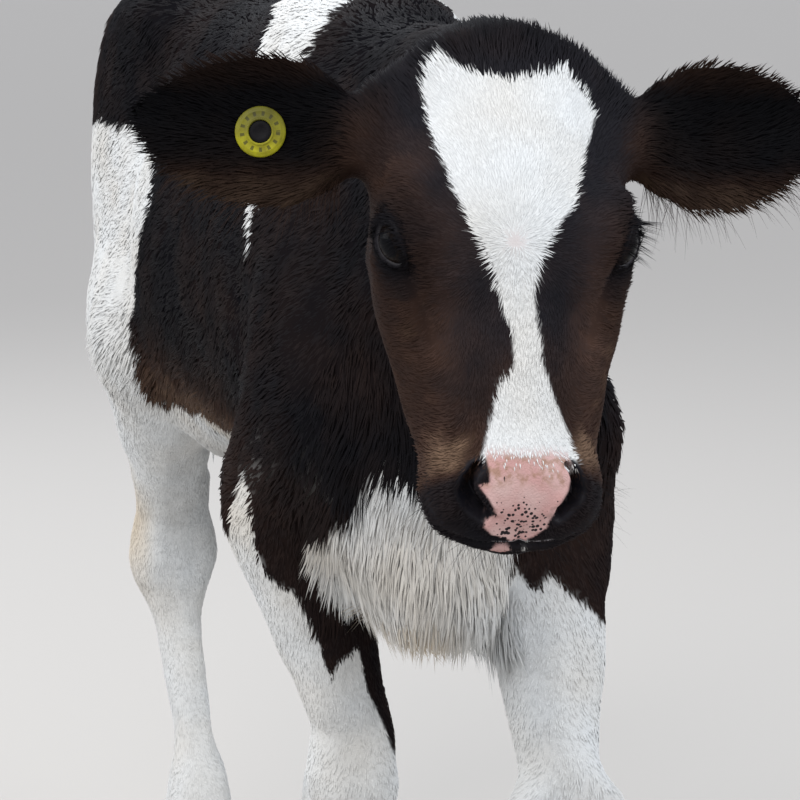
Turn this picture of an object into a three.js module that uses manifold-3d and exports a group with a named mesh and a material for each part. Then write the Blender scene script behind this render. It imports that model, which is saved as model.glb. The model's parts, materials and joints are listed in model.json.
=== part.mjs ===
// A standing Holstein calf about two months old, life size, in a slow walking stance.
// Millimetres, +Z up. The calf faces -Y, its left side is +X, and its soles stand on Z = 0.
//
// The flesh is one smooth field of blended ellipsoids and tapered limbs. A net of facets is laid
// over that field region by region, and thin plane cuts part the head, neck, trunk and legs. The
// ears, eyes, hooves, tail and ear tag are lofts and lathes of their own.

import * as THREE from "three";
import { LoftGeometry } from "three/addons/geometries/LoftGeometry.js";
import { mergeVertices } from "three/addons/utils/BufferGeometryUtils.js";
import Module from "manifold-3d";

const library = await Module();
library.setup();

// ---------------------------------------------------------------- driving dimensions
const BACK_HEIGHT = 856; // spine line over the chest, to the tips of the coat
const CUT = 0.4; // clear gap between two parts
const FACET_LIFT = 1.2; // facet corners stand this far out, so that flat facets keep the girth
const SWAY = -11; // the chest leans over the rear forefoot as the calf steps

const HEAD_POLL = [-35, -612, 846]; // top of the head, between the ears
const HEAD_DROP = 62; // degrees the face is turned down from level
const HEAD_TURN = -6; // degrees the head is turned, negative to the calf's right
const HEAD_LEAN = 1.5; // degrees the muzzle swings to the calf's right under the poll

const EYE_CENTRE = [56, -122, -36]; // in the head's frame, left eye
const EYE_RADIUS = 17;
const EYE_AIM = 32; // degrees the eyes look forward from straight sideways

const EAR_ROOT = [80, -52, -54]; // in the head's frame, left ear
const EAR_LENGTH = 126;
const EAR_HALF_WIDTH = 43;
const EAR_CUP = 17; // how deep the blade is hollowed
const EAR_THICKNESS = 7;
const EAR_FACING = new THREE.Vector3(0, -0.35, 0.94); // the way the hollow side looks

const HOOF_LENGTH = 78;
const CLAW_WIDTH = 31;
const CLAW_GAP = 3;
const CORONET_HEIGHT = 40; // top of the hoof at its middle
const CORONET_SLOPE = 0.33; // how fast the top of the hoof falls towards the heel
const CORONET_BACK = 57; // from the toe to the middle of the top of the hoof

const TAG_RADIUS = 14.5;
const TAG_THICKNESS = 2.4;
const TAG_HOLE_RADIUS = 6.2;
const TAG_PIN_RADIUS = 2.6;
const TAG_ALONG_EAR = 0.42; // place along the blade, from root 0 to tip 1
const TAG_STANDOFF = 3.4; // the ring stands clear of the hollow of the ear

// Leg joints in this stance. X is the distance from the midline.
const FORELEGS = {
  left: {
    elbow: [84, -318, 530],
    wrist: [64, -412, 374],
    knee: [64, -440, 306],
    fetlock: [62, -494, 114],
    toe: -586,
  },
  right: {
    elbow: [82, -262, 525],
    wrist: [46, -256, 368],
    knee: [27, -259, 298],
    fetlock: [38, -234, 112],
    toe: -326,
  },
};
const HINDLEGS = {
  left: { stifle: [92, 186, 556], hock: [86, 322, 328], fetlock: [78, 274, 108], toe: 182 },
  right: { stifle: [90, 218, 556], hock: [54, 368, 326], fetlock: [42, 320, 108], toe: 228 },
};
const SIDES = ["left", "right"];

const HAIR_BLACK = 0x1b1716;
const HAIR_BROWN = 0x2b1f1b;
const HAIR_WHITE = 0xe6e2da;
const HORN = 0x4a4038;
const EYE_DARK = 0x0d0b0a;
const TAG_YELLOW = 0xc9cf2e;
const TAG_BLACK = 0x141414;

const radians = THREE.MathUtils.degToRad;
const lerp = THREE.MathUtils.lerp;

// ---------------------------------------------------------------- fields
// A field gives a point's rough distance from a surface, negative inside.

// An ellipsoid, which may be tipped about the X axis by some degrees.
function ellipsoid([cx, cy, cz], [rx, ry, rz], tip = 0) {
  const cos = Math.cos(radians(tip));
  const sin = Math.sin(radians(tip));
  return (x, y, z) => {
    const px = x - cx;
    const py = (y - cy) * cos + (z - cz) * sin;
    const pz = (z - cz) * cos - (y - cy) * sin;
    const near = Math.hypot(px / rx, py / ry, pz / rz);
    const slope = Math.hypot(px / rx ** 2, py / ry ** 2, pz / rz ** 2);
    return slope < 1e-9 ? -Math.min(rx, ry, rz) : (near * (near - 1)) / slope;
  };
}

// A limb from a to b that tapers from one radius to the other. Wide scales it along X.
function limb(a, b, startRadius, endRadius, wide = 1) {
  const run = [b[0] - a[0], b[1] - a[1], b[2] - a[2]];
  const length2 = run[0] ** 2 + run[1] ** 2 + run[2] ** 2;
  return (x, y, z) => {
    const dot = (x - a[0]) * run[0] + (y - a[1]) * run[1] + (z - a[2]) * run[2];
    const t = Math.min(Math.max(dot / length2, 0), 1);
    const px = (x - a[0] - run[0] * t) / wide;
    const py = y - a[1] - run[1] * t;
    const pz = z - a[2] - run[2] * t;
    return (Math.hypot(px, py, pz) - lerp(startRadius, endRadius, t)) * Math.min(wide, 1);
  };
}

const bothSides = (field, middle = 0) => (x, y, z) => field(Math.abs(x - middle), y, z);

// Forms nearer than k flow into one another.
function blend(k, ...fields) {
  return (x, y, z) => {
    let distance = fields[0](x, y, z);
    for (let i = 1; i < fields.length; i++) {
      const other = fields[i](x, y, z);
      const h = Math.max(k - Math.abs(distance - other), 0) / k;
      distance = Math.min(distance, other) - (h * h * k) / 4;
    }
    return distance;
  };
}

// The same field seen through a frame: the field is drawn in the frame's own axes.
function framed(field, frame) {
  const e = frame.clone().invert().elements;
  return (x, y, z) => field(
    e[0] * x + e[4] * y + e[8] * z + e[12],
    e[1] * x + e[5] * y + e[9] * z + e[13],
    e[2] * x + e[6] * y + e[10] * z + e[14]);
}

const moved = ([x, y, z], dx, dy, dz) => [x + dx, y + dy, z + dz];

// ---------------------------------------------------------------- trunk
const trunkField = blend(42,
  ellipsoid([SWAY / 2, -135, 662], [110, 270, 190]), // ribs
  ellipsoid([0, 105, 652], [132, 250, 186]), // belly
  ellipsoid([-18, 196, 496], [58, 72, 54]), // navel and the folds between the thighs
  limb([0, -170, BACK_HEIGHT - 62], [0, 240, BACK_HEIGHT - 48], 52, 62, 1.3), // loin and back
  limb([SWAY, -292, BACK_HEIGHT - 46], [0, -150, BACK_HEIGHT - 40], 36, 40, 0.9), // withers
  ellipsoid([0, 292, 786], [104, 150, 104]), // croup
  bothSides(ellipsoid([80, 212, 828], [34, 56, 30])), // hip bones
  bothSides(ellipsoid([52, 412, 792], [30, 36, 36])), // pin bones
  bothSides(ellipsoid([72, 322, 700], [58, 122, 160])), // thighs
  bothSides(ellipsoid([58, 396, 680], [44, 60, 130])), // buttocks
  bothSides(limb([30, -236, 800], [60, -322, 620], 32, 46), SWAY), // shoulder blades
  bothSides(ellipsoid([58, -344, 592], [37, 60, 66]), SWAY), // points of the shoulder
  ellipsoid([SWAY, -366, 578], [70, 74, 96]), // breast
  ellipsoid([SWAY, -372, 486], [42, 82, 58]), // brisket
  limb([0, 390, 826], [0, 470, 812], 26, 21)); // root of the tail

// ---------------------------------------------------------------- legs
const onSide = (side, [x, y, z]) => [side === "left" ? x : -x, y, z];

const footOf = (fetlock, toe) => blend(16,
  ellipsoid(fetlock, [30, 31, 30]),
  ellipsoid(moved(fetlock, 0, 12, -10), [25, 22, 21]),
  limb(fetlock, [fetlock[0], toe + CORONET_BACK, CORONET_HEIGHT + 8], 25, 29, 1.12));

function foreleg(side) {
  const elbow = onSide(side, FORELEGS[side].elbow);
  const wrist = onSide(side, FORELEGS[side].wrist);
  const knee = onSide(side, FORELEGS[side].knee);
  const fetlock = onSide(side, FORELEGS[side].fetlock);
  return blend(20,
    limb(moved(elbow, 0, -46, 36), elbow, 56, 52, 0.8), // upper arm
    limb(moved(elbow, 0, 0, -20), wrist, 58, 35, 0.94), // forearm
    ellipsoid(moved(elbow, 0, 34, 18), [26, 32, 40], 20), // point of the elbow
    ellipsoid(knee, [46, 38, 50]),
    limb(moved(knee, 0, 4, -20), moved(fetlock, 0, 2, 26), 28, 23, 0.96), // cannon
    footOf(fetlock, FORELEGS[side].toe));
}

function hindleg(side) {
  const stifle = onSide(side, HINDLEGS[side].stifle);
  const hock = onSide(side, HINDLEGS[side].hock);
  const fetlock = onSide(side, HINDLEGS[side].fetlock);
  const heel = moved(hock, 0, 34, 46);
  const hamstring = [stifle[0] * 0.86, stifle[1] + 150, 590];
  return blend(20,
    ellipsoid(moved(stifle, 0, 0, 14), [44, 62, 74], -18), // stifle
    limb(moved(stifle, 0, 24, 0), moved(hock, 0, -10, 52), 62, 36, 0.94), // gaskin
    limb(moved(stifle, 0, 84, 14), moved(hock, 0, 12, 96), 66, 26, 0.8), // calf muscle
    limb(hamstring, moved(heel, 0, -4, 4), 46, 17, 0.86), // tendon to the point of the hock
    limb(heel, moved(hock, 0, 18, -16), 21, 30, 1),
    ellipsoid(hock, [44, 40, 48]),
    limb(moved(hock, 0, 4, -34), moved(fetlock, 0, 2, 26), 27, 20, 0.92), // cannon
    footOf(fetlock, HINDLEGS[side].toe));
}

// ---------------------------------------------------------------- head, in its own frame
// The origin is at the poll, the muzzle lies towards -Y and the forehead faces +Z.
const headFrame = new THREE.Matrix4().makeRotationZ(radians(HEAD_TURN));
headFrame.multiply(new THREE.Matrix4().makeRotationY(radians(HEAD_LEAN)));
headFrame.multiply(new THREE.Matrix4().makeRotationX(radians(HEAD_DROP)));
headFrame.setPosition(...HEAD_POLL);

const headField = blend(16,
  ellipsoid([0, -74, -54], [66, 70, 54]), // braincase
  ellipsoid([0, -27, -42], [63, 28, 36]), // poll
  ellipsoid([0, -112, -42], [60, 56, 40]), // forehead
  bothSides(ellipsoid([50, -120, -40], [21, 32, 24])), // rim of the eye socket
  bothSides(ellipsoid([54, -132, -66], [19, 44, 24])), // cheekbone
  limb([0, -120, -44], [0, -246, -60], 42, 27), // bridge of the nose
  bothSides(ellipsoid([32, -178, -78], [29, 62, 34])), // upper jaw
  bothSides(ellipsoid([42, -110, -98], [26, 72, 48])), // cheek muscle
  bothSides(limb([36, -70, -126], [15, -246, -92], 20, 13)), // lower jaw
  ellipsoid([0, -256, -68], [44, 33, 31]), // muzzle
  bothSides(ellipsoid([28, -254, -74], [20, 30, 22])), // upper lip
  ellipsoid([0, -256, -94], [28, 30, 13]), // chin
  ellipsoid([0, -46, -102], [46, 54, 50]), // throat
  bothSides(ellipsoid([50, -34, -22], [14, 14, 10])), // horn bud
  bothSides(ellipsoid([64, -52, -54], [26, 27, 25]))); // root of the ear

// ---------------------------------------------------------------- neck
const inBody = (point) => new THREE.Vector3(...point).applyMatrix4(headFrame).toArray();
const neckField = blend(40,
  limb([SWAY, -262, BACK_HEIGHT - 76], inBody([0, -16, -84]), 62, 42, 0.76), // crest
  limb([SWAY, -300, 664], inBody([0, -30, -112]), 110, 58, 0.64), // middle
  limb([SWAY, -336, 604], inBody([0, -38, -128]), 86, 36, 0.58)); // underside

const calfField = blend(24,
  blend(30, blend(46, trunkField, neckField),
    foreleg("left"), foreleg("right"), hindleg("left"), hindleg("right")),
  framed(headField, headFrame));

// ---------------------------------------------------------------- facets over a field
// Moves a point along the field's slope until it lies on the surface.
function settle(field, point) {
  const small = 0.5;
  for (let pass = 0; pass < 4; pass++) {
    const [x, y, z] = point.toArray();
    const slope = new THREE.Vector3(
      field(x + small, y, z) - field(x - small, y, z),
      field(x, y + small, z) - field(x, y - small, z),
      field(x, y, z + small) - field(x, y, z - small)).divideScalar(2 * small);
    point.addScaledVector(slope, -field(x, y, z) / Math.max(slope.lengthSq(), 0.05));
  }
}

// Where a grid square is inside at two opposite corners only, two sheets would share an edge of the
// net. Such a square is filled by taking one more of its corners inside. Returns how many were.
function fillTwists(values, [nx, ny, nz]) {
  const strides = [1, nx, nx * ny];
  let filled = 0;
  for (let corner = 0; corner < nx * ny * (nz - 1) - nx - 1; corner++) {
    for (let axis = 0; axis < 3; axis++) {
      const u = strides[(axis + 1) % 3];
      const v = strides[(axis + 2) % 3];
      const square = [corner, corner + u, corner + u + v, corner + v];
      const [a, b, c, d] = square.map((n) => values[n] < 0);
      if (a !== c || b !== d || a === b) continue;
      values[square[a ? 1 : 0]] = -1e-3;
      filled++;
    }
  }
  return filled;
}

// A surface net: one vertex in each grid cell that the surface passes through, and four-sided faces
// between the cells round each crossed grid edge. The net is closed off at the box from low to high.
function netOver(field, low, high, cell) {
  const bounded = (x, y, z) => Math.max(field(x, y, z) - FACET_LIFT,
    low[0] - x, x - high[0], low[1] - y, y - high[1], low[2] - z, z - high[2]);
  const counts = low.map((v, i) => Math.ceil((high[i] - v) / cell[i]) + 3);
  const [nx, ny] = counts;
  const place = (i, axis) => low[axis] + (i - 1) * cell[axis];
  const cornerAt = (i, j, k) => i + nx * (j + ny * k);
  const values = [];
  for (let k = 0; k < counts[2]; k++) {
    for (let j = 0; j < ny; j++) {
      for (let i = 0; i < nx; i++) values.push(bounded(place(i, 0), place(j, 1), place(k, 2)));
    }
  }
  while (fillTwists(values, counts)) continue;

  const positions = [];
  const vertexOfCell = new Map();
  const axes = [[1, 0, 0], [0, 1, 0], [0, 0, 1]];
  for (let k = 0; k < counts[2] - 1; k++) {
    for (let j = 0; j < ny - 1; j++) {
      for (let i = 0; i < nx - 1; i++) {
        const middle = new THREE.Vector3();
        let crossings = 0;
        for (let axis = 0; axis < 3; axis++) {
          for (let side = 0; side < 4; side++) {
            const corner = [i, j, k];
            corner[(axis + 1) % 3] += side & 1;
            corner[(axis + 2) % 3] += side >> 1;
            const a = values[cornerAt(...corner)];
            const b = values[cornerAt(...corner.map((v, n) => v + axes[axis][n]))];
            if (a < 0 === b < 0) continue;
            corner[axis] += a / (a - b);
            middle.add(new THREE.Vector3(...corner.map((v, n) => place(v, n))));
            crossings++;
          }
        }
        if (!crossings) continue;
        middle.divideScalar(crossings);
        settle(bounded, middle);
        const cellLow = new THREE.Vector3(place(i + 0.06, 0), place(j + 0.06, 1), place(k + 0.06, 2));
        const cellHigh = new THREE.Vector3(place(i + 0.94, 0), place(j + 0.94, 1), place(k + 0.94, 2));
        middle.clamp(cellLow, cellHigh);
        vertexOfCell.set(cornerAt(i, j, k), positions.length / 3);
        positions.push(...middle.toArray());
      }
    }
  }

  const indices = [];
  const corner = (n) => new THREE.Vector3().fromArray(positions, 3 * n);
  for (let k = 1; k < counts[2] - 1; k++) {
    for (let j = 1; j < ny - 1; j++) {
      for (let i = 1; i < nx - 1; i++) {
        for (let axis = 0; axis < 3; axis++) {
          const a = values[cornerAt(i, j, k)];
          const b = values[cornerAt(...[i, j, k].map((v, n) => v + axes[axis][n]))];
          if (a < 0 === b < 0) continue;
          const u = axes[(axis + 1) % 3];
          const v = axes[(axis + 2) % 3];
          const ring = [[0, 0], [1, 0], [1, 1], [0, 1]].map(([p, q]) =>
            vertexOfCell.get(cornerAt(...[i, j, k].map((n, m) => n - p * u[m] - q * v[m]))));
          if (b < 0) ring.reverse();
          const [c0, c1, c2, c3] = ring.map(corner);
          if (c0.distanceTo(c2) < c1.distanceTo(c3)) {
            indices.push(ring[0], ring[1], ring[2], ring[0], ring[2], ring[3]);
          } else {
            indices.push(ring[0], ring[1], ring[3], ring[1], ring[2], ring[3]);
          }
        }
      }
    }
  }
  const geometry = new THREE.BufferGeometry();
  geometry.setAttribute("position", new THREE.Float32BufferAttribute(positions, 3));
  geometry.setIndex(indices);
  return geometry;
}

// ---------------------------------------------------------------- cutting and joining
function toSolid(geometry) {
  const bare = new THREE.BufferGeometry();
  bare.setAttribute("position", geometry.attributes.position);
  bare.setIndex(geometry.index);
  const merged = mergeVertices(bare, 1e-3);
  const mesh = new library.Mesh({
    numProp: 3,
    vertProperties: new Float32Array(merged.attributes.position.array),
    triVerts: new Uint32Array(merged.index.array),
  });
  return new library.Manifold(mesh);
}

// The facets of a solid, without the slivers that cuts leave.
function toGeometry(solid) {
  const mesh = solid.simplify(0.05).getMesh();
  const geometry = new THREE.BufferGeometry();
  geometry.setAttribute("position", new THREE.Float32BufferAttribute(mesh.vertProperties, 3));
  geometry.setIndex(Array.from(mesh.triVerts));
  return geometry;
}

// Everything on the side of a plane that its normal points to. It may be bounded along Y.
function beyond(point, normal, gap = 0, [back, front] = [-1000, 1000]) {
  const size = 3000;
  const toward = new THREE.Vector3(...normal).normalize();
  const geometry = new THREE.BoxGeometry(size, size, size).translate(0, 0, size / 2 + gap);
  geometry.applyQuaternion(new THREE.Quaternion().setFromUnitVectors(new THREE.Vector3(0, 0, 1), toward));
  geometry.translate(...point);
  const bounds = new THREE.BoxGeometry(size, front - back, size).translate(0, (front + back) / 2, 0);
  return toSolid(geometry).intersect(toSolid(bounds));
}

// ---------------------------------------------------------------- materials and placing
const calf = new THREE.Group();
calf.name = "calf";
const head = new THREE.Group();
head.applyMatrix4(headFrame);
calf.add(head);

function place(parent, name, shape, color, roughness = 0.85) {
  const geometry = shape.isBufferGeometry ? shape : toGeometry(shape);
  const mesh = new THREE.Mesh(geometry, new THREE.MeshStandardMaterial({ color, roughness, metalness: 0 }));
  mesh.name = name;
  parent.add(mesh);
  return mesh;
}

// ---------------------------------------------------------------- planes between the parts
const turned = ({ point, normal }) => ({ point, normal: normal.map((v) => -v) });
const cutOff = (solid, plane, span) => solid.subtract(beyond(plane.point, plane.normal, -CUT / 2, span));
const keepOnly = (solid, plane, span) => solid.intersect(beyond(plane.point, plane.normal, CUT / 2, span));

const neckBase = { point: [0, -285, 840], normal: [0, -0.91, 0.415] };
const headBase = { point: [0, 12, -62], normal: [0, -1, 1] }; // in the head's frame
const headBaseInBody = {
  point: inBody(headBase.point),
  normal: new THREE.Vector3(...headBase.normal).transformDirection(headFrame).toArray(),
};
const tailRoot = { point: [0, 452, 812], normal: [0, 1, 0.1] };
const FORELEG_SPAN = [-460, -150];
const HINDLEG_SPAN = [168, 1000];
const foreLegTop = (side) => ({
  point: moved(onSide(side, [48, 0, 462]), SWAY, 0, 0),
  normal: onSide(side, [0.824, 0, -0.567]),
});
const hindLegTop = (side) => ({ point: onSide(side, [30, 0, 480]), normal: onSide(side, [0.8, 0, -0.6]) });
const coronet = (toe) => ({
  point: [0, toe + CORONET_BACK, CORONET_HEIGHT],
  normal: [0, -CORONET_SLOPE, -1],
});

// ---------------------------------------------------------------- trunk and neck
let trunk = toSolid(netOver(calfField, [-185, -480, 430], [185, 470, 900], [40, 50, 36]));
trunk = cutOff(trunk, neckBase);
trunk = cutOff(trunk, tailRoot);
for (const side of SIDES) {
  trunk = cutOff(trunk, foreLegTop(side), FORELEG_SPAN);
  trunk = cutOff(trunk, hindLegTop(side), HINDLEG_SPAN);
}
place(calf, "trunk", trunk, HAIR_BLACK);

let neck = toSolid(netOver(calfField, [-180, -700, 440], [180, -240, 900], [30, 35, 35]));
neck = keepOnly(neck, neckBase);
neck = keepOnly(neck, turned(headBaseInBody));
place(calf, "neck", neck, HAIR_BLACK);

// ---------------------------------------------------------------- legs
// Each leg is parted just below its knee or hock, and again at the top of the hoof.
function placeLeg(kind, side, { toe, fetlock }, middleJoint, top, span, reach) {
  const across = side === "left" ? [5, 185] : [-185, -5];
  const split = { point: [0, 0, middleJoint[2] - 42], normal: [0, 0, -1] };
  const overlap = 20;
  const mark = dewclawsOf(side, fetlock).map(({ solid }) => solid);

  const upperLow = [across[0], reach[0], split.point[2] - overlap];
  const upperHigh = [across[1], reach[1], reach[2]];
  let upper = toSolid(netOver(calfField, upperLow, upperHigh, [24, 30, 39]));
  upper = cutOff(cutOff(keepOnly(upper, top, span), split), neckBase);
  place(calf, `${kind}leg_${side}_upper`, upper, HAIR_WHITE);

  const lowerLow = [across[0], Math.min(toe, reach[0]), 10];
  const lowerHigh = [across[1], reach[1] + 60, split.point[2] + overlap];
  let lower = toSolid(netOver(calfField, lowerLow, lowerHigh, [18, 19, 34]));
  lower = cutOff(keepOnly(lower, split), coronet(toe));
  for (const solid of mark) lower = lower.subtract(solid);
  place(calf, `${kind}leg_${side}_lower`, lower, HAIR_WHITE);
}

// A dewclaw is a small blunt cone that points down and back behind the fetlock. Grown makes the
// slightly larger form that it sits in.
function dewclaw(grown = 0) {
  const profile = [[0, -9], [8, -7], [8.5, 3], [5, 12], [0, 14]];
  const points = profile.map(([r, h]) => new THREE.Vector2(r && r + grown, h + Math.sign(h) * grown));
  return new THREE.LatheGeometry(points, 7);
}

function dewclawsOf(side, [x, y, z]) {
  return ["outer", "inner"].map((name) => {
    const outward = (side === "left" ? 1 : -1) * (name === "outer" ? 1 : -1);
    const position = [(side === "left" ? x : -x) + outward * 13, y + 29, z - 20];
    const rotation = [radians(145), 0, radians(outward * 12)];
    const frame = new THREE.Matrix4().makeRotationFromEuler(new THREE.Euler(...rotation));
    frame.setPosition(...position);
    return { name, position, rotation, solid: toSolid(dewclaw(CUT).applyMatrix4(frame)) };
  });
}

for (const side of SIDES) {
  const fore = FORELEGS[side];
  const hind = HINDLEGS[side];
  placeLeg("fore", side, fore, fore.knee, foreLegTop(side), FORELEG_SPAN,
    [Math.min(fore.knee[1] - 60, -400), -170, 660]);
  placeLeg("hind", side, hind, hind.hock, hindLegTop(side), HINDLEG_SPAN, [140, 520, 720]);
  for (const [kind, { fetlock }] of [["fore", fore], ["hind", hind]]) {
    for (const { name, position, rotation } of dewclawsOf(side, fetlock)) {
      const mesh = place(calf, `dewclaw_${kind}_${side}_${name}`, dewclaw(), HORN, 0.55);
      mesh.position.set(...position);
      mesh.rotation.set(...rotation);
    }
  }
}

// ---------------------------------------------------------------- hooves
// One level section of a claw. Rise runs from 0 at the sole to 1 at the coronet, where the section
// is shorter, sits further back and tips down towards the heel.
function clawSection(outward, height, rise, inset = 0) {
  const length = HOOF_LENGTH * (1 - 0.3 * rise) - 2 * inset;
  const width = CLAW_WIDTH * (1 - 0.08 * rise) - inset;
  const front = HOOF_LENGTH * 0.37 * rise + inset;
  const count = 10;
  return Array.from({ length: count }, (_, i) => {
    const turn = (2 * Math.PI * i) / count;
    const side = Math.cos(turn);
    const along = (1 - Math.sin(turn)) / 2;
    const taper = 1 - 0.3 * Math.max(0, Math.sin(turn)) ** 2;
    const x = width / 2 * (1 + Math.sign(side) * Math.abs(side) ** 0.8 * (side > 0 ? taper : 0.9));
    const y = front + length * along;
    const tip = rise * CORONET_SLOPE * (y - CORONET_BACK);
    return new THREE.Vector3(outward * (x + CLAW_GAP / 2), y, height - tip);
  });
}

function claw(outward) {
  const lift = CORONET_HEIGHT - CUT / 2;
  const sections = [
    clawSection(outward, 0, 0, 1.5),
    clawSection(outward, 2.5, 0),
    clawSection(outward, lift * 0.5, 0.5),
    clawSection(outward, lift, 1)];
  if (outward > 0) sections.forEach((section) => section.reverse());
  return new LoftGeometry(sections, { capStart: true, capEnd: true });
}

for (const side of SIDES) {
  const sign = side === "left" ? 1 : -1;
  for (const [kind, { fetlock, toe }] of [["fore", FORELEGS[side]], ["hind", HINDLEGS[side]]]) {
    for (const [name, outward] of [["outer", sign], ["inner", -sign]]) {
      const hoof = place(calf, `hoof_${kind}_${side}_${name}`, claw(outward), HORN, 0.55);
      hoof.position.set(sign * fetlock[0], toe, 0);
    }
  }
}

// ---------------------------------------------------------------- tail
const tailLine = new THREE.CatmullRomCurve3([
  [0, 452.3, 812], [0, 476, 800], [2, 490, 760], [4, 492, 660], [6, 488, 560], [8, 484, 470], [9, 482, 385],
].map((point) => new THREE.Vector3(...point)));
const SWITCH_START = 0.68; // where the long hair of the tail's end begins

// Rings along part of the tail. The radius is a function of the place along the whole tail.
function tailLoft(start, end, steps, radiusAt) {
  const sections = Array.from({ length: steps + 1 }, (_, i) => {
    const t = lerp(start, end, i / steps);
    const centre = tailLine.getPointAt(t);
    const along = i === 0 && start === 0
      ? new THREE.Vector3(...tailRoot.normal).normalize()
      : tailLine.getTangentAt(t);
    const across = new THREE.Vector3(1, 0, 0);
    const up = new THREE.Vector3().crossVectors(along, across).normalize();
    return Array.from({ length: 8 }, (_, k) => {
      const turn = (2 * Math.PI * k) / 8;
      return centre.clone()
        .addScaledVector(across, radiusAt(t) * Math.cos(turn))
        .addScaledVector(up, radiusAt(t) * 0.85 * Math.sin(turn));
    });
  });
  return new LoftGeometry(sections, { capStart: true, capEnd: true });
}

const dock = tailLoft(0, SWITCH_START - 0.001, 6, (t) => 20 - 11 * Math.min(1, t / 0.5));
const switchShape = (t) => {
  const along = (t - SWITCH_START) / (1 - SWITCH_START);
  return 9 + 12 * Math.sin(Math.PI * along ** 0.8) - 4 * t;
};
place(calf, "tail", dock, HAIR_WHITE);
place(calf, "tail_switch", tailLoft(SWITCH_START, 1, 5, switchShape), HAIR_WHITE);

// ---------------------------------------------------------------- head
const eyeAt = (sign) => [sign * EYE_CENTRE[0], EYE_CENTRE[1], EYE_CENTRE[2]];
const mouthLine = { point: [0, -250, -71], normal: [0, -0.12, -1] };
const mouthCorner = { point: [0, -212, -82], normal: [0, -0.75, -0.66] };

let skull = toSolid(netOver(framed(calfField, headFrame.clone().invert()),
  [-96, -310, -190], [96, 50, 20], [16, 22, 17]));
skull = keepOnly(skull, headBase);
for (const sign of [1, -1]) {
  skull = cutOff(skull, { point: [sign * EAR_ROOT[0], 0, 0], normal: [sign, 0, 0] });
  const socket = new THREE.SphereGeometry(EYE_RADIUS + CUT + 0.3, 12, 8).translate(...eyeAt(sign));
  const lids = new THREE.SphereGeometry(1, 10, 6).scale(20, 15, 9).translate(EYE_RADIUS, 0, 0);
  lids.rotateY(-radians(EYE_AIM)).scale(sign, 1, 1).translate(...eyeAt(sign));
  if (sign < 0) lids.index.array.reverse();
  skull = skull.subtract(toSolid(socket)).subtract(toSolid(lids));
}
const below = beyond(mouthLine.point, mouthLine.normal, CUT / 2);
const before = beyond(mouthCorner.point, mouthCorner.normal, CUT / 2);
place(head, "lower_jaw", skull.intersect(below).intersect(before), HAIR_BLACK);
const jawRoom = beyond(mouthLine.point, mouthLine.normal, -CUT / 2)
  .intersect(beyond(mouthCorner.point, mouthCorner.normal, -CUT / 2));
place(head, "head", skull.subtract(jawRoom), HAIR_BROWN);

// The eyeball is a lathe about its own line of sight, with the cornea standing out of the globe.
function eyeball() {
  const points = [];
  const count = 8;
  for (let i = 0; i <= count; i++) {
    const turn = (Math.PI * i) / count - Math.PI / 2;
    const bulge = 1.6 * Math.max(0, Math.sin(turn) - 0.72) / 0.28;
    points.push(new THREE.Vector2(
      i % count ? EYE_RADIUS * Math.cos(turn) : 0, (EYE_RADIUS - 1.6) * Math.sin(turn) + bulge));
  }
  return new THREE.LatheGeometry(points, 12);
}
for (const side of SIDES) {
  const sign = side === "left" ? 1 : -1;
  const eye = place(head, `eye_${side}`, eyeball(), EYE_DARK, 0.08);
  eye.position.set(...eyeAt(sign));
  eye.rotation.set(0, 0, -sign * radians(90 + EYE_AIM));
}

// ---------------------------------------------------------------- ears
// The blade is a hollowed leaf. Along runs from 0 at the root to 1 at the tip.
const earWidth = (along) => {
  const leaf = Math.sin(Math.PI * (0.16 + 0.84 * along ** 0.9)) ** 0.6;
  return lerp(Math.max(EAR_HALF_WIDTH * leaf, 4), 23, Math.max(0, 1 - along / 0.22) ** 1.5);
};
const earCup = (along) => {
  const opening = Math.min(1, along / 0.25);
  return EAR_CUP * Math.sin(Math.PI * Math.min(1, along * 0.75 + 0.12)) * opening;
};
const earDepth = (along) => EAR_THICKNESS + 30 * Math.max(0, 1 - along / 0.3) ** 2;

function ear(sign) {
  const line = new THREE.CatmullRomCurve3([[0.3, 0, 0], [45, 3, -5], [88, 12, -14], [EAR_LENGTH - 4, 25, -25]]
    .map(([x, y, z]) => new THREE.Vector3(sign * (EAR_ROOT[0] + x), EAR_ROOT[1] + y, EAR_ROOT[2] + z)));
  const steps = 8;
  const sections = Array.from({ length: steps + 1 }, (_, i) => {
    const along = i / steps;
    const centre = line.getPointAt(along);
    const outward = i ? line.getTangentAt(along) : new THREE.Vector3(sign, 0, 0);
    const up = new THREE.Vector3().crossVectors(EAR_FACING, outward).multiplyScalar(sign).normalize();
    const front = new THREE.Vector3().crossVectors(outward, up).multiplyScalar(sign).normalize();
    const rim = (across, face) => {
      const hollow = earCup(along) * (across ** 2 - 0.6);
      const thick = face * (1 + (earDepth(along) / 2 - 1) * Math.sqrt(1 - across ** 2));
      const point = centre.clone().addScaledVector(up, across * earWidth(along));
      return point.addScaledVector(front, hollow + thick);
    };
    const places = [-1, -0.86, -0.5, 0, 0.5, 0.86, 1];
    const loop = [...places.map((v) => rim(v, -1)), ...places.toReversed().map((v) => rim(v, 1))];
    return sign > 0 ? loop : loop.reverse();
  });
  return { line, blade: toSolid(new LoftGeometry(sections, { capStart: true, capEnd: true })) };
}

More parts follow.
